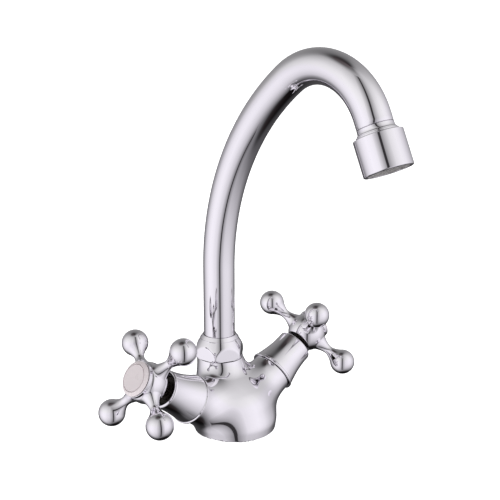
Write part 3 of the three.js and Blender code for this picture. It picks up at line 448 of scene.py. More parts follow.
def ramp(nodes, links, source, stops):
    """A colour ramp. Each stop is a position with a grey or a colour."""
    node = nodes.new("ShaderNodeValToRGB")
    elements = node.color_ramp.elements
    while len(elements) < len(stops):
        elements.new(0.5)
    for element, (position, value) in zip(elements, stops):
        element.position = position
        element.color = value if isinstance(value, tuple) else (value, value, value, 1)
    links.new(source, node.inputs["Fac"])
    return node.outputs["Color"]


def noise(nodes, links, scale, detail=3.0):
    place = nodes.new("ShaderNodeTexCoord")
    texture = nodes.new("ShaderNodeTexNoise")
    texture.inputs["Scale"].default_value = scale
    texture.inputs["Detail"].default_value = detail
    texture.inputs["Roughness"].default_value = 0.5
    links.new(place.outputs["Object"], texture.inputs["Vector"])
    return texture.outputs["Fac"]


def spread(nodes, links, source, low, high):
    """Maps a noise value to a range."""
    span = nodes.new("ShaderNodeMapRange")
    span.inputs["From Min"].default_value, span.inputs["From Max"].default_value = NOISE_SPAN
    span.inputs["To Min"].default_value = low
    span.inputs["To Max"].default_value = high
    links.new(source, span.inputs["Value"])
    return span.outputs["Result"]


def bump(nodes, links, source, shader, strength, distance):
    node = nodes.new("ShaderNodeBump")
    node.inputs["Strength"].default_value = strength
    node.inputs["Distance"].default_value = distance
    links.new(source, node.inputs["Height"])
    links.new(node.outputs["Normal"], shader.inputs["Normal"])


def shaded(name, colour, dark_colour, roughness, metallic=0.0, grain=900.0, relief=0.05):
    """A solid whose colour and gloss vary a little, with a fine grain."""
    material, nodes, links = blank_material(name)
    shader = nodes["Principled BSDF"]
    shader.inputs["Metallic"].default_value = metallic
    stops = list(zip(NOISE_SPAN, ((*dark_colour, 1), (*colour, 1))))
    links.new(ramp(nodes, links, noise(nodes, links, TONE_SCALE), stops), shader.inputs["Base Color"])
    gloss = spread(nodes, links, noise(nodes, links, GLOSS_SCALE), *roughness)
    links.new(gloss, shader.inputs["Roughness"])
    bump(nodes, links, noise(nodes, links, grain), shader, relief, GRAIN_DEPTH)
    return material


def chrome_material():
    """Bright plating: a mirror with faint waves where the metal below was polished."""
    material, nodes, links = blank_material("chrome_plate")
    shader = nodes["Principled BSDF"]
    shader.inputs["Metallic"].default_value = 1.0
    shader.inputs["Base Color"].default_value = CHROME_COLOUR
    gloss = spread(nodes, links, noise(nodes, links, CHROME_GLOSS_SCALE), *CHROME_ROUGHNESS)
    links.new(gloss, shader.inputs["Roughness"])
    waves = noise(nodes, links, CHROME_WAVE_SCALE, detail=1.0)
    bump(nodes, links, waves, shader, CHROME_WAVE_STRENGTH, CHROME_WAVE_DEPTH)
    return material


CHROME = chrome_material()
# painted shade: a near-black for the insides of recesses, pockets and notches, where shade falls
PAINTED_SHADE = shaded("painted_shade", (0.07, 0.066, 0.072), (0.05, 0.047, 0.052), (0.35, 0.55))
IVORY = shaded("ivory_plastic", (0.73, 0.664, 0.68), (0.70, 0.636, 0.652), (0.25, 0.33))
BRASS = shaded("machined_brass", (0.66, 0.47, 0.20), (0.55, 0.38, 0.15), (0.22, 0.38), metallic=1.0)
# painted shade: brass darkened nearly to black, for parts seen only inside the shaded sleeve mouths
BRASS_IN_SHADE = shaded("brass_painted_shade", (0.045, 0.036, 0.03), (0.025, 0.02, 0.018), (0.4, 0.6), metallic=0.6)
STEEL = shaded("satin_steel", (0.60, 0.60, 0.61), (0.50, 0.50, 0.51), (0.22, 0.36), metallic=1.0)
RUBBER = shaded(
    "black_rubber", (0.022, 0.021, 0.022), (0.014, 0.014, 0.014), (0.6, 0.8), grain=1500.0, relief=0.15
)
WHITE_PLASTIC = shaded("white_acetal", (0.80, 0.80, 0.77), (0.74, 0.74, 0.71), (0.4, 0.5))
GREY_PLASTIC = shaded("grey_moulding", (0.30, 0.29, 0.29), (0.22, 0.21, 0.21), (0.4, 0.55))
CERAMIC = shaded("lapped_ceramic", (0.82, 0.80, 0.74), (0.78, 0.76, 0.70), (0.12, 0.2))

SLOT_MATERIALS = {
    "chrome": CHROME,
    "brass": BRASS,
    "steel": STEEL,
    "rubber": RUBBER,
    "white_plastic": WHITE_PLASTIC,
    "grey_plastic": GREY_PLASTIC,
    "ivory_plastic": IVORY,
    "ceramic": CERAMIC,
}
for subpart in frame["record"]["subparts"]:
    node_mesh = frame["nodes"][subpart["node"]].data
    node_mesh.materials.clear()
    node_mesh.materials.append(SLOT_MATERIALS[subpart["material_slot"]])
# the cartridge shows only in the dark mouth of its sleeve, so its brass is painted near black as shade
for arm_name in ("left", "right"):
    for part in ("cartridge_housing", "spindle", "retaining_clip"):
        frame["nodes"][f"{arm_name}_{part}"].data.materials[0] = BRASS_IN_SHADE


# ------------------------------------------------------------------ casting

def smooth_union(first, second, width):
    """The smaller of two distances, blended where they differ by less than the width."""
    overlap = np.maximum(width - np.abs(first - second), 0) / width
    return np.minimum(first, second) - overlap * overlap * width / 4


def rod_distance(points, start, end, start_radius, end_radius):
    """Distance to a rod whose radius runs smoothly from one ball to another."""
    path = end - start
    length = np.linalg.norm(path)
    reach = points - start
    along = reach @ path / length
    across = np.sqrt(np.maximum((reach**2).sum(axis=1) - along**2, 0))
    sine = (start_radius - end_radius) / length
    cosine = math.sqrt(1 - sine**2)
    contact = cosine * along - sine * across
    before = np.hypot(across, along) - start_radius
    beyond = np.hypot(across, along - length) - end_radius
    beside = cosine * across + sine * along - start_radius
    return np.where(contact < 0, before, np.where(contact > cosine * length, beyond, beside))


def foot_distance(points):
    aside = np.hypot(points[:, 0], points[:, 1])
    across = aside - (FOOT_CORE_RADIUS - FOOT_TOP_RADIUS)
    above = points[:, 2] - (FOOT_HEIGHT - FOOT_TOP_RADIUS)
    outer = np.hypot(np.maximum(across, 0), np.maximum(above, 0))
    return outer + np.minimum(np.maximum(across, above), 0) - FOOT_TOP_RADIUS


def casting_distance(points):
    """Signed distance to the blended skin of the casting, its rounded lower edge included."""
    low = np.array((0.0, 0.0, SHOULDER_HEIGHT))
    high = np.array((0.0, CHEST_SETBACK, CHEST_HEIGHT))
    distance = rod_distance(points, low, high, SHOULDER_RADIUS, CHEST_RADIUS)
    for side in (1, -1):
        matrix = arm_matrix(side)
        root = matrix[:3, 3]
        tip = matrix[:3, :3] @ np.array((0, 0, ARM_LENGTH + ARM_RADIUS)) + root
        arm = rod_distance(points, root, tip, ARM_RADIUS, ARM_RADIUS)
        distance = smooth_union(distance, arm, ARM_BLEND)
    neck_low = np.array((0.0, NECK_SETBACK, FOOT_HEIGHT))
    neck_high = np.array((0.0, NECK_SETBACK, NECK_TOP + NECK_RADIUS))
    neck = rod_distance(points, neck_low, neck_high, NECK_RADIUS, NECK_RADIUS)
    distance = smooth_union(distance, neck, NECK_BLEND)
    distance = smooth_union(distance, foot_distance(points), FOOT_BLEND)
    aside = np.hypot(points[:, 0], points[:, 1])
    across = np.maximum(aside - (BASE_RADIUS - FOOT_EDGE_RADIUS), 0)
    below = np.maximum(FOOT_EDGE_RADIUS - points[:, 2], 0)
    edge = np.hypot(across, below) - FOOT_EDGE_RADIUS
    return np.where(points[:, 2] < FOOT_EDGE_RADIUS, np.maximum(distance, edge), distance)


def casting_slope(points):
    step = 0.01
    slope = np.empty_like(points)
    for axis in range(3):
        shift = np.zeros(3)
        shift[axis] = step
        slope[:, axis] = casting_distance(points + shift) - casting_distance(points - shift)
    return slope / np.maximum(np.linalg.norm(slope, axis=1, keepdims=True), 1e-9)


def casting_skin():
    """An even mesh of the skin: a ball pushed out to it, remeshed, then settled on it."""
    work = bmesh.new()
    bmesh.ops.create_icosphere(work, subdivisions=BALL_SUBDIVISIONS, radius=1)
    rays = np.array([v.co for v in work.verts])
    rays /= np.linalg.norm(rays, axis=1, keepdims=True)
    faces = [[v.index for v in f.verts] for f in work.faces]
    work.free()
    heart = np.array(HEART)
    outside = np.full(len(rays), ARM_LENGTH + 3.0 * ARM_RADIUS)
    searching = np.ones(len(rays), bool)
    while searching.any():
        probe = heart + rays[searching] * (outside[searching, None] - 1)
        free = casting_distance(probe) > 0
        found = np.flatnonzero(searching)
        outside[found[free]] -= 1
        searching[found[~free]] = False
    inside = outside - 1
    for _ in range(HALVINGS):
        middle = (inside + outside) / 2
        free = casting_distance(heart + rays * middle[:, None]) > 0
        outside = np.where(free, middle, outside)
        inside = np.where(free, inside, middle)
    skin = make_object("casting", heart + rays * outside[:, None], faces)
    remesh = skin.modifiers.new("even", "REMESH")
    remesh.mode = "VOXEL"
    remesh.voxel_size = SKIN_GRID * METRES
    apply_modifiers(skin)
    points = np.array([v.co for v in skin.data.vertices]) / METRES
    for _ in range(SETTLING_STEPS):
        points = points - casting_slope(points) * casting_distance(points)[:, None]
    skin.data.vertices.foreach_set("co", (points * METRES).ravel())
    skin.data.update()
    return skin


def apply_modifiers(piece):
    ready = bpy.context.evaluated_depsgraph_get()
    mesh = bpy.data.meshes.new_from_object(piece.evaluated_get(ready))
    piece.modifiers.clear()
    old = piece.data
    piece.data = mesh
    mesh.name = piece.name
    bpy.data.meshes.remove(old)


def cylinder(radius, bottom, top, matrix=None):
    vertices, faces = lathe([(0, bottom), (radius, bottom), (radius, top), (0, top)], TOOL_SIDES)
    tool = make_object("tool", vertices, faces, matrix)
    outward(tool)
    return tool


def shifted(x, y):
    return np.array(Matrix.Translation((x, y, 0)))


def cut(piece, tools, operation="DIFFERENCE"):
    """Cuts tools from a piece, or joins them to it, and removes them."""
    for tool in tools:
        step = piece.modifiers.new("cut", "BOOLEAN")
        step.operation = operation
        step.solver = "EXACT"
        step.object = tool
        apply_modifiers(piece)
        bpy.data.objects.remove(tool)


def valve_body():
    """The casting: its skin, with the end faces, thread, bores, sockets and groove cut in it."""
    body = casting_skin()
    beyond = 4 * ARM_LENGTH
    below = -1
    neck = shifted(0, NECK_SETBACK)
    tools = [cylinder(2 * NECK_RADIUS, NECK_TOP, beyond, neck)]
    tools += [cylinder(2 * ARM_RADIUS, ARM_LENGTH, beyond, arm_matrix(side)) for side in (1, -1)]
    cut(body, tools)
    thread = cylinder(NECK_THREAD_RADIUS, NECK_TOP - 1, NECK_TOP + NECK_THREAD_LENGTH, neck)
    cut(body, [thread], "UNION")
    inner, outer, depth = GASKET_GROOVE
    section = [(inner, below), (outer, below), (outer, depth), (inner, depth)]
    groove = make_object("tool", *lathe(section, closed=True))
    outward(groove)
    stud_radius, stud_depth, stud_y = STUD_SOCKET
    hose_radius, hose_depth, hose_x, hose_y = HOSE_SOCKET
    tools = [
        cylinder(SPOUT_SOCKET_RADIUS, SPOUT_SOCKET_FLOOR, beyond, neck),
        groove,
        cylinder(stud_radius, below, stud_depth, shifted(0, stud_y)),
    ]
    for side in (1, -1):
        tools.append(cylinder(hose_radius, below, hose_depth, shifted(side * hose_x, hose_y)))
        tools.append(cylinder(CARTRIDGE_BORE_RADIUS, CARTRIDGE_BORE_FLOOR, beyond, arm_matrix(side)))
    cut(body, tools)
    polish(body)
    body.name = "casting"
    return dress(body, "body", "valve_body", "chrome", CHROME)


def polish(body):
    """Gives the blended skin its exact normals and leaves the machined faces flat."""
    mesh = body.data
    points = np.empty(len(mesh.vertices) * 3)
    mesh.vertices.foreach_get("co", points)
    points = points.reshape(-1, 3) / METRES
    slope = casting_slope(points)
    on_skin = np.abs(casting_distance(points)) < ON_SKIN
    normals = np.empty((len(mesh.loops), 3))
    for face in mesh.polygons:
        flat = np.array(face.normal)
        corners = list(face.vertices)
        skin = all(on_skin[v] for v in corners) and flat @ slope[corners].mean(axis=0) > ALIGNED
        for loop, vertex in zip(face.loop_indices, corners):
            normals[loop] = slope[vertex] if skin else flat
    mesh.polygons.foreach_set("use_smooth", [True] * len(mesh.polygons))
    mesh.normals_split_custom_set(normals.tolist())


# ------------------------------------------------------------------ spout

def spout_line(distance):
    """Forward and up position of the tube's centre line, and its direction from upright."""
    riser = BEND_START - TUBE_FOOT
    sweep = SWEEP_RADIUS * SWEEP_ANGLE
    crook = CROOK_RADIUS * CROOK_ANGLE
    turn = min(max(distance - riser, 0) / SWEEP_RADIUS, SWEEP_ANGLE)
    forward = SWEEP_RADIUS * (1 - math.cos(turn))
    up = TUBE_FOOT + min(distance, riser) + SWEEP_RADIUS * math.sin(turn)
    more = min(max(distance - riser - sweep, 0) / CROOK_RADIUS, CROOK_ANGLE)
    forward += CROOK_RADIUS * (math.cos(SWEEP_ANGLE) - math.cos(SWEEP_ANGLE + more))
    up += CROOK_RADIUS * (math.sin(SWEEP_ANGLE + more) - math.sin(SWEEP_ANGLE))
    turn += more
    tail = max(distance - riser - sweep - crook, 0)
    return forward + tail * math.sin(turn), up + tail * math.cos(turn), turn


TUBE_LENGTH = BEND_START - TUBE_FOOT + SWEEP_RADIUS * SWEEP_ANGLE + CROOK_RADIUS * CROOK_ANGLE + TUBE_TAIL


def spout_tube():
    """The bent tube, from its rounded foot to its rounded end and back along the bore."""
    bore = TUBE_RADIUS - TUBE_WALL
    middle = TUBE_RADIUS - TUBE_WALL / 2
    fillet = TUBE_END_ROUND
    section = rounded([(TUBE_RADIUS, 0, fillet), (TUBE_RADIUS, 1, 0), (bore, 1, 0), (bore, 0, fillet)])
    outer = [(radius, height) for radius, height in section if height < 0.5 and radius > middle]
    inner = [(radius, height) for radius, height in section if height < 0.5 and radius < middle]
    steps = [TUBE_LENGTH * i / TUBE_STEPS for i in range(1, TUBE_STEPS)]
    stations = outer[::-1] + [(TUBE_RADIUS, step) for step in steps]
    stations += [(radius, TUBE_LENGTH - height) for radius, height in outer + inner]
    stations += [(bore, step) for step in reversed(steps)] + inner[::-1]
    vertices, faces = [], []
    for radius, distance in stations:
        forward, up, turn = spout_line(distance)
        for i in range(TUBE_SIDES):
            angle = 2 * math.pi * i / TUBE_SIDES
            across = radius * math.cos(angle)
            away = radius * math.sin(angle)
            y = NECK_SETBACK - forward + away * math.cos(turn)
            vertices.append((across, y, up + away * math.sin(turn)))
    count = len(stations)
    for row in range(count):
        below, above = row * TUBE_SIDES, (row + 1) % count * TUBE_SIDES
        for i in range(TUBE_SIDES):
            j = (i + 1) % TUBE_SIDES
            faces.append((below + i, below + j, above + j, above + i))
    piece = make_object("gooseneck", vertices, faces)
    outward(piece)
    smooth(piece)
    return dress(piece, "spout", "spout_tube", "chrome", CHROME)


def outlet_matrix():
    forward, up, turn = spout_line(TUBE_LENGTH)
    place = Matrix.Translation((0, NECK_SETBACK - forward, up))
    return np.array(place @ Matrix.Rotation(turn, 4, "X"))


def outlet_collar():
    """A flare that carries the tube's outside on, with two fine steps down to the aerator."""
    profile = [(COLLAR_BORE, COLLAR_SPIGOT_START), (COLLAR_SPIGOT_RADIUS, COLLAR_SPIGOT_START)]
    profile += [(COLLAR_SPIGOT_RADIUS, COLLAR_FACE)] + bezier(*COLLAR_FLARE, FLARE_STEPS)
    corners = [(*COLLAR_FLARE[-1], 0)] + [(*corner, FINE_ROUND) for corner in COLLAR_STEPS]
    corners += [(COLLAR_STEPS[-1][0], COLLAR_END, COLLAR_END_ROUND), (COLLAR_BORE, COLLAR_END, 0)]
    profile += rounded(corners, closed=False)[1:]
    piece = turned_piece("outlet_end", profile, outlet_matrix())
    return dress(piece, "spout", "outlet_collar", "chrome", CHROME)


def key_place(x, y):
    """Whether a point lies beside one of the aerator key's four teeth."""
    return abs(math.remainder(math.atan2(y, x), math.pi / 2)) < KEY_HALF_ANGLE


def aerator_housing():
    """A plain cup with a rounded rim; four small pockets for its key are cut inside the lip and painted dark
    as shade.
    """
    low, high = KEY_POCKET
    profile = rounded(
        [
            (HOUSING_BORE, HOUSING_START, FINE_ROUND),
            (HOUSING_RADIUS, HOUSING_START, HOUSING_START_ROUND),
            (HOUSING_RADIUS, HOUSING_END, HOUSING_END_ROUND),
            (LIP_RADIUS, HOUSING_END, LIP_ROUND),
            (LIP_RADIUS, high + KEY_POCKET_SLOPE, 0),
            (LIP_RADIUS, high, 0),
            (LIP_RADIUS, low, 0),
            (LIP_RADIUS, LIP_START, FINE_ROUND),
            (HOUSING_BORE, LIP_START, FINE_ROUND),
        ]
    )
    vertices, faces = lathe(profile, FINE_TURNED_SIDES, True)
    deeper = KEY_POCKET_RADIUS / LIP_RADIUS
    for i, (x, y, height) in enumerate(vertices):
        if math.hypot(x, y) < LIP_RADIUS + NEAR and low - NEAR < height < high + NEAR and key_place(x, y):
            vertices[i] = (x * deeper, y * deeper, height)
    piece = make_object("aerator_shell", vertices, faces, outlet_matrix())
    # painted shade: the pockets' faces take the near-black material
    for face in piece.data.polygons:
        x, y, height = np.mean([vertices[v] for v in face.vertices], axis=0)
        inside = math.hypot(x, y) < KEY_POCKET_RADIUS + NEAR and low - NEAR < height < high + KEY_POCKET_SLOPE
        face.material_index = int(inside and key_place(x, y))
    outward(piece)
    smooth(piece)
    return dress(piece, "spout", "aerator_housing", "chrome", CHROME, PAINTED_SHADE)


def aerator_screen():
    """A moulded grid of crossing bars inside a rim that is notched for the key."""
    rim = rounded(
        [
            (SCREEN_RIM_BORE, SCREEN_TOP, FINE_ROUND),
            (SCREEN_RADIUS, SCREEN_TOP, FINE_ROUND),
            (SCREEN_RADIUS, SCREEN_FACE, SCREEN_RIM_ROUND),
            (SCREEN_RIM_BORE, SCREEN_FACE, SCREEN_RIM_ROUND),
        ]
    )
    vertices, faces = lathe(rim, FINE_TURNED_SIDES, True)
    rim_faces = len(faces)
    middle = (SCREEN_TOP + SCREEN_FACE) / 2
    for i, (x, y, height) in enumerate(vertices):
        if height > middle and key_place(x, y):
            vertices[i] = (x, y, SCREEN_TOP + SCREEN_NOTCH)
    wide = BAR_WIDTH / 2
    count = int(BAR_REACH / BAR_PITCH)
    for turn in (0, 1):
        front, back = SCREEN_FACE - BAR_STEP * turn, SCREEN_TOP + BAR_BACK
        section = ((-wide, front), (wide, front), (wide, back), (-wide, back))
        for offset in (k * BAR_PITCH for k in range(-count, count + 1)):
            half = math.sqrt(BAR_REACH**2 - offset**2)
            first = len(vertices)
            for along in (-half, half):
                for side, height in section:
                    flat = (along, offset + side) if turn == 0 else (offset + side, along)
                    vertices.append((*flat, height))
            near, far = range(first, first + 4), range(first + 4, first + 8)
            for i in range(4):
                j = (i + 1) % 4
                faces.append((near[i], near[j], far[j], far[i]))
            faces += [tuple(near), tuple(far)]
    piece = make_object("outlet_mesh", vertices, faces, outlet_matrix())
    # painted shade: the faces of the rim's notches take the near-black material
    notched = SCREEN_TOP + SCREEN_NOTCH + NEAR
    for face in list(piece.data.polygons)[:rim_faces]:
        face.material_index = int(all(vertices[v][2] < notched for v in face.vertices))
    outward(piece)
    smooth(piece)
    return dress(piece, "spout", "aerator_screen", "grey_plastic", GREY_PLASTIC, PAINTED_SHADE)


def spout_nut():
    """Hexagon with a domed top, its edges softened as the plating softens them."""
    corner = NUT_HALF_WIDTH / math.cos(math.pi / 6)
    rim = TUBE_RADIUS + FIT + NUT_RIM_WIDTH
    rise = NUT_TOP - NUT_FLAT_TOP
    bore = NECK_THREAD_RADIUS + FIT
    mouth = TUBE_RADIUS + FIT
    chamfer_width, chamfer_height = NUT_CHAMFER
    flat_bottom = NUT_BOTTOM + chamfer_height
    low_rise, top_width, top_drop = NUT_DOME
    profile = rounded(
        [
            (bore, NUT_BOTTOM, 0),
            (corner - chamfer_width, NUT_BOTTOM, NUT_BOTTOM_ROUND),
            (corner, flat_bottom, NUT_CHAMFER_ROUND),
            (corner, NUT_FLAT_TOP, 0),
        ],
        False,
    )[:-1]
    rows = np.linspace(flat_bottom + NUT_CHAMFER_ROUND, NUT_FLAT_TOP, NUT_FLAT_ROWS)[:-1]
    profile += [(corner, height) for height in rows]
    profile += bezier(
        (corner, NUT_FLAT_TOP),
        (corner, NUT_FLAT_TOP + low_rise * rise),
        (rim + top_width * (corner - rim), NUT_TOP - top_drop * rise),
        (rim, NUT_TOP),
        NUT_DOME_STEPS,
    )
    profile += [(mouth, NUT_TOP), (mouth, NUT_TOP - NUT_LIP), (bore, NUT_TOP - NUT_LIP)]
    vertices, faces = lathe(profile, NUT_SIDES, True)
    points = np.array(vertices)
    radius = np.hypot(points[:, 0], points[:, 1])
    angle = np.arctan2(points[:, 1], points[:, 0])
    sector = math.pi / 3
    flat = NUT_HALF_WIDTH / np.cos((angle + sector / 2) % sector - sector / 2)
    soft = np.where(radius > rim, smooth_union(radius, flat, NUT_EDGE), radius)
    points[:, :2] *= (soft / radius)[:, None]
    # a corner of the hexagon looks along local -Y before the turn
    matrix = np.array(Matrix.Translation((0, NECK_SETBACK, 0)) @ Matrix.Rotation(NUT_TURN, 4, "Z"))
    piece = make_object("gland_nut", points, faces, matrix)
    outward(piece)
    smooth(piece)
    return dress(piece, "body", "spout_nut", "chrome", CHROME)


# ------------------------------------------------------------------ handles

def bonnet_sleeve(name, side):
    """A bell with a thin lip at the casting and a rounded mouth, its recess painted dark as shade."""
    length = SLEEVE_END - SLEEVE_START
    bell_start = SLEEVE_START + SLEEVE_BELL_START
    mouth_start = SLEEVE_END - SLEEVE_MOUTH_EDGE
    low_reach, high_reach = SLEEVE_BELL_HANDLES
    shell = rounded(
        [
            (SLEEVE_FLARE_RADIUS - SLEEVE_WALL, SLEEVE_START, 0),
            (SLEEVE_LIP_RADIUS, SLEEVE_START, SLEEVE_LIP_ROUND),
            (SLEEVE_LIP_RADIUS, SLEEVE_START + SLEEVE_LIP_WIDTH, SLEEVE_LIP_ROUND),
            (SLEEVE_FLARE_RADIUS, SLEEVE_START + SLEEVE_FLARE_START, SLEEVE_FLARE_ROUND),
            (SLEEVE_FLARE_RADIUS, bell_start, 0),
        ],
        False,
    )
    bell = bezier(
        (SLEEVE_FLARE_RADIUS, bell_start),
        (SLEEVE_FLARE_RADIUS - 1, SLEEVE_START + low_reach * length),
        (SLEEVE_WAIST_RADIUS, SLEEVE_END - high_reach * length),
        (SLEEVE_MOUTH_RADIUS, mouth_start),
        BELL_STEPS,
    )
    mouth = SLEEVE_MOUTH_RADIUS - SLEEVE_MOUTH_EDGE
    shell += bell[1:-1] + arc(mouth, mouth_start, SLEEVE_MOUTH_EDGE, 0, math.pi / 2, MOUTH_STEPS)
    outside = len(shell)
    floor_height = SLEEVE_END - SLEEVE_RECESS
    floor_back = floor_height - SLEEVE_FLOOR
    shell += [(mouth, floor_height), (SLEEVE_BORE, floor_height), (SLEEVE_BORE, floor_back)]
    lining = [(radius - SLEEVE_WALL, height) for radius, height in bell if height < floor_back - LINING_GAP]
    shell += lining[::-1]
    vertices, faces = lathe(shell, closed=True)
    piece = make_object(f"{name}_bell", vertices, faces, arm_matrix(side))
    # painted shade: the faces inside the mouth (its wall, floor, bore and lining) take the near-black
    # material
    for index, face in enumerate(piece.data.polygons):
        face.material_index = int(index // TURNED_SIDES >= outside - 1)
    outward(piece)
    smooth(piece)
    return dress(piece, "body", f"{name}_bonnet_sleeve", "chrome", CHROME, PAINTED_SHADE)


def arm_profile():
    """Arm from inside the hub to its ball: a fillet off the hub, a thin neck and the ball."""
    root_distance = math.sqrt(HUB_RADIUS**2 - ARM_ROOT_RADIUS**2)
    start = np.array((ARM_ROOT_RADIUS, root_distance))
    off_hub = np.array((-root_distance, ARM_ROOT_RADIUS)) / HUB_RADIUS
    neck = np.array((ARM_NECK_RADIUS, ARM_NECK_DISTANCE))
    ease = np.array((0, ARM_NECK_EASE))
    root = bezier(start, start + off_hub * ARM_NECK_EASE / 2, neck - ease, neck, NECK_STEPS)
    wrap = math.pi / 2 - ARM_BALL_WRAP
    ball = arc(0, ARM_BALL_DISTANCE, ARM_BALL_RADIUS, wrap, math.pi / 2, BALL_STEPS)
    shoulder = np.array(ball[0])
    into_neck = np.array((math.sin(wrap), -math.cos(wrap)))
    tail = bezier(neck, neck + ease, shoulder + into_neck * ARM_NECK_EASE, shoulder, NECK_STEPS)
    profile = [(0, HUB_RADIUS / 2), (ARM_ROOT_RADIUS, HUB_RADIUS / 2)] + root + tail[1:-1] + ball[:-1]
    return profile + [(0, ARM_BALL_DISTANCE + ARM_BALL_RADIUS)]


def hub_profile():
    """Hub from its bore at the back, round its ball, over a seam to the rim, and into the cup in front."""
    back = -math.asin((CROSS_DISTANCE - HUB_BACK) / HUB_RADIUS)
    front = math.asin((HUB_BALL_END - CROSS_DISTANCE) / HUB_RADIUS)
    corners = [(HUB_BORE_RADIUS, HUB_BORE_END, 0), (HUB_BORE_RADIUS, HUB_BACK, FINE_ROUND)]
    profile = rounded(corners + [(HUB_RADIUS, HUB_BACK, 0)], closed=False)[:-1]
    profile += arc(0, CROSS_DISTANCE, HUB_RADIUS, back, front, BALL_STEPS)
    profile += rounded(
        [
            *HUB_SEAM,
            (HUB_RIM_RADIUS, HUB_RIM_START, HUB_RIM_ROUND),
            (HUB_RIM_RADIUS, HUB_FRONT, HUB_RIM_ROUND),
            (HUB_CUP_RADIUS, HUB_FRONT, FINE_ROUND),
            (HUB_CUP_RADIUS, HUB_CUP_FLOOR, 0),
        ],
        False,
    )
    return profile + [(0, HUB_CUP_FLOOR), (0, HUB_BORE_END)]


def cross_handle(name, side, turn):
    """The hub and four equal arms, which run into it."""
    vertices, faces = lathe(hub_profile())
    limb, limb_faces = lathe(arm_profile(), ARM_SIDES)
    limb = np.array(limb)
    lay = np.array(Matrix.Rotation(math.pi / 2, 4, "Y"))[:3, :3]
    for i in range(4):
        spin = np.array(Matrix.Rotation(turn + i * math.pi / 2, 4, "Z"))[:3, :3]
        first = len(vertices)
        placed = limb @ (spin @ lay).T + np.array((0, 0, CROSS_DISTANCE))
        vertices += placed.tolist()
        faces += [tuple(first + v for v in face) for face in limb_faces]
    piece = make_object(f"{name}_cross", vertices, faces, arm_matrix(side))
    outward(piece)
    smooth(piece)
    return dress(piece, f"{name}_handle", f"{name}_cross_handle", "chrome", CHROME)


def index_cap(name, side):
    """Bare ivory cap: a sloping ring round a flat disc, with a fine groove between them."""
    front = CAP_FACE + CAP_HEIGHT
    corners = [
        (0, CAP_BACK, 0),
        (CAP_PLUG_RADIUS, CAP_BACK, FINE_ROUND),
        (CAP_PLUG_RADIUS, CAP_FACE, 0),
        (CAP_RADIUS, CAP_FACE, FINE_ROUND),
        (CAP_RADIUS, CAP_FACE + CAP_EDGE, CAP_EDGE_ROUND),
    ]
    corners += [(radius, front - depth, fillet) for radius, depth, fillet in CAP_FRONT] + [(0, front, 0)]
    piece = turned_piece(f"{name}_cap", rounded(corners, closed=False), arm_matrix(side), closed=False)
    return dress(piece, f"{name}_handle", f"{name}_index_cap", "ivory_plastic", IVORY)


valve_body()
spout_nut()
spout_tube()
outlet_collar()
aerator_housing()
aerator_screen()
for arm_name, arm_side, handle_turn in (("left", -1, LEFT_TURN), ("right", 1, RIGHT_TURN)):
    bonnet_sleeve(arm_name, arm_side)
    cross_handle(arm_name, arm_side, handle_turn)
    index_cap(arm_name, arm_side)


# ------------------------------------------------------------------ studio

def floor_and_wall():
    """A wide white floor with a faint contact shadow, and a far wall behind it.

    The plating mirrors neither. The wall is only for the eye, so that low views have no dark horizon.
    """
    reach = FLOOR_REACH
    corners = [(-reach, -reach, 0), (reach, -reach, 0), (reach, reach, 0), (-reach, reach, 0)]
    plane = make_object("floor", corners, [(0, 1, 2, 3)])
    material, nodes, _ = blank_material("pale_floor")
    shader = nodes["Principled BSDF"]
    shader.inputs["Base Color"].default_value = (FLOOR_GREY, FLOOR_GREY, FLOOR_GREY, 1)
    shader.inputs["Roughness"].default_value = FLOOR_ROUGHNESS
    shader.inputs["Specular IOR Level"].default_value = 0.0
    shader.inputs["Emission Color"].default_value = (1, 1, 1, 1)
    shader.inputs["Emission Strength"].default_value = FLOOR_GLOW
    plane.data.materials.append(material)
    plane.visible_glossy = False
    wall = make_object("backdrop", *lathe([(WALL_DISTANCE, height) for height in WALL_HEIGHTS], WALL_SIDES))
    wall.data.materials.append(material)
    wall.visible_glossy = False
    wall.visible_diffuse = False
    wall.visible_shadow = False


def toward(turn, height):
    """A direction from its turn off the camera's side and its height, both in degrees."""
    azimuth = CAMERA_SIDE + math.radians(turn)
    rise = math.radians(height)
    return (math.cos(rise) * math.cos(azimuth), math.cos(rise) * math.sin(azimuth), math.sin(rise))


def tent():
    """A bright cloth tent that hangs round the object, darker at its back, top and bottom."""
    world = bpy.data.worlds.new("light_tent")
    bpy.context.scene.world = world
    world.use_nodes = True
    nodes, links = world.node_tree.nodes, world.node_tree.links
    direction = nodes.new("ShaderNodeTexCoord").outputs["Generated"]

    def product(first, second):
        node = nodes.new("ShaderNodeMix")
        node.data_type = "RGBA"
        node.blend_type = "MULTIPLY"
        node.inputs["Factor"].default_value = 1.0
        links.new(first, node.inputs["A"])
        links.new(second, node.inputs["B"])
        return node.outputs["Result"]

    def away_from(turn, height, stops):
        """Brightness by the angle in degrees from one direction."""
        dot = nodes.new("ShaderNodeVectorMath")
        dot.operation = "DOT_PRODUCT"
        dot.inputs[1].default_value = toward(turn, height)
        links.new(direction, dot.inputs[0])
        angle = math_node(nodes, links, "ARCCOSINE", dot.outputs["Value"])
        share = math_node(nodes, links, "DIVIDE", angle, math.pi)
        return ramp(nodes, links, share, [(degrees / 180, value) for degrees, value in stops])

    split = nodes.new("ShaderNodeSeparateXYZ")
    links.new(direction, split.inputs["Vector"])
    azimuth = math_node(nodes, links, "ARCTAN2", split.outputs["Y"], split.outputs["X"])
    turn = math_node(nodes, links, "SUBTRACT", azimuth, CAMERA_SIDE)
    turns = math_node(nodes, links, "DIVIDE", turn, 2 * math.pi)
    share = math_node(nodes, links, "FRACT", math_node(nodes, links, "ADD", turns, 1.5))
    around = ramp(nodes, links, share, [((degrees + 180) / 360, value) for degrees, value in TENT_AROUND])
    top, bottom, back = away_from(*TENT_TOP), away_from(*TENT_BOTTOM), away_from(*TENT_BACK)
    background = nodes["Background"]
    links.new(product(product(around, top), product(bottom, back)), background.inputs["Color"])
    background.inputs["Strength"].default_value = 1.0


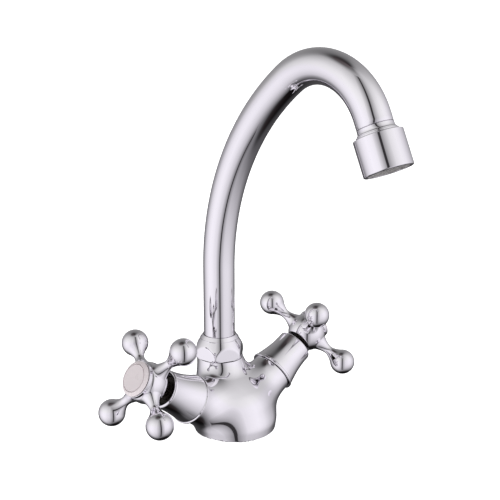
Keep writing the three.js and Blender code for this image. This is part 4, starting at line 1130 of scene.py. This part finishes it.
def tent_slit():
    """The dark gap between the tent's two curtains, seen only as a reflection."""
    half = SLIT_HALF_WIDTH
    low, high = SLIT_HEIGHTS
    corners = [(-half, 0, low), (half, 0, low), (half, 0, high), (-half, 0, high)]
    card = make_object("tent_slit", corners, [(0, 1, 2, 3)])
    card.location = Vector((*SLIT_PLACE, 0)) * METRES
    card.rotation_euler = (0, 0, math.atan2(SLIT_PLACE[1], SLIT_PLACE[0]) + math.pi / 2)
    material, nodes, links = blank_material("curtain_gap")
    nodes.remove(nodes["Principled BSDF"])
    place = nodes.new("ShaderNodeTexCoord")
    split = nodes.new("ShaderNodeSeparateXYZ")
    links.new(place.outputs["Object"], split.inputs["Vector"])
    across = math_node(nodes, links, "ABSOLUTE", split.outputs["X"])
    share = math_node(nodes, links, "DIVIDE", across, half * METRES)
    darkness = ramp(nodes, links, share, [(distance / half, value) for distance, value in SLIT_SHADE])
    clear = nodes.new("ShaderNodeBsdfTransparent")
    dark = nodes.new("ShaderNodeEmission")
    dark.inputs["Color"].default_value = SLIT_COLOUR
    mix = nodes.new("ShaderNodeMixShader")
    links.new(darkness, mix.inputs["Fac"])
    links.new(clear.outputs[0], mix.inputs[1])
    links.new(dark.outputs[0], mix.inputs[2])
    links.new(mix.outputs[0], nodes["Material Output"].inputs["Surface"])
    card.data.materials.append(material)
    card.visible_camera = False
    card.visible_diffuse = False
    card.visible_shadow = False


def lamp():
    """A wide soft lamp over the object, for its contact shadow."""
    light = bpy.data.lights.new("overhead", "AREA")
    light.shape = "SQUARE"
    light.size = LAMP_SIZE
    light.energy = LAMP_POWER
    source = bpy.data.objects.new("overhead", light)
    source.location = (0, 0, LAMP_HEIGHT)
    source.visible_glossy = False
    bpy.context.collection.objects.link(source)


def camera():
    right, up = Vector(CAMERA_RIGHT), Vector(CAMERA_UP)
    back = right.cross(up)
    data = bpy.data.cameras.new("camera")
    data.sensor_width = SENSOR
    data.lens = FOCAL_PIXELS / FRAME_PIXELS * SENSOR
    view = bpy.data.objects.new("camera", data)
    turn = Matrix((right, up, back)).transposed()
    view.matrix_world = Matrix.Translation(Vector(CAMERA_PLACE) * METRES) @ turn.to_4x4()
    bpy.context.collection.objects.link(view)
    bpy.context.scene.camera = view


floor_and_wall()
tent()
tent_slit()
lamp()
camera()
bpy.context.scene.view_settings.view_transform = "Standard"
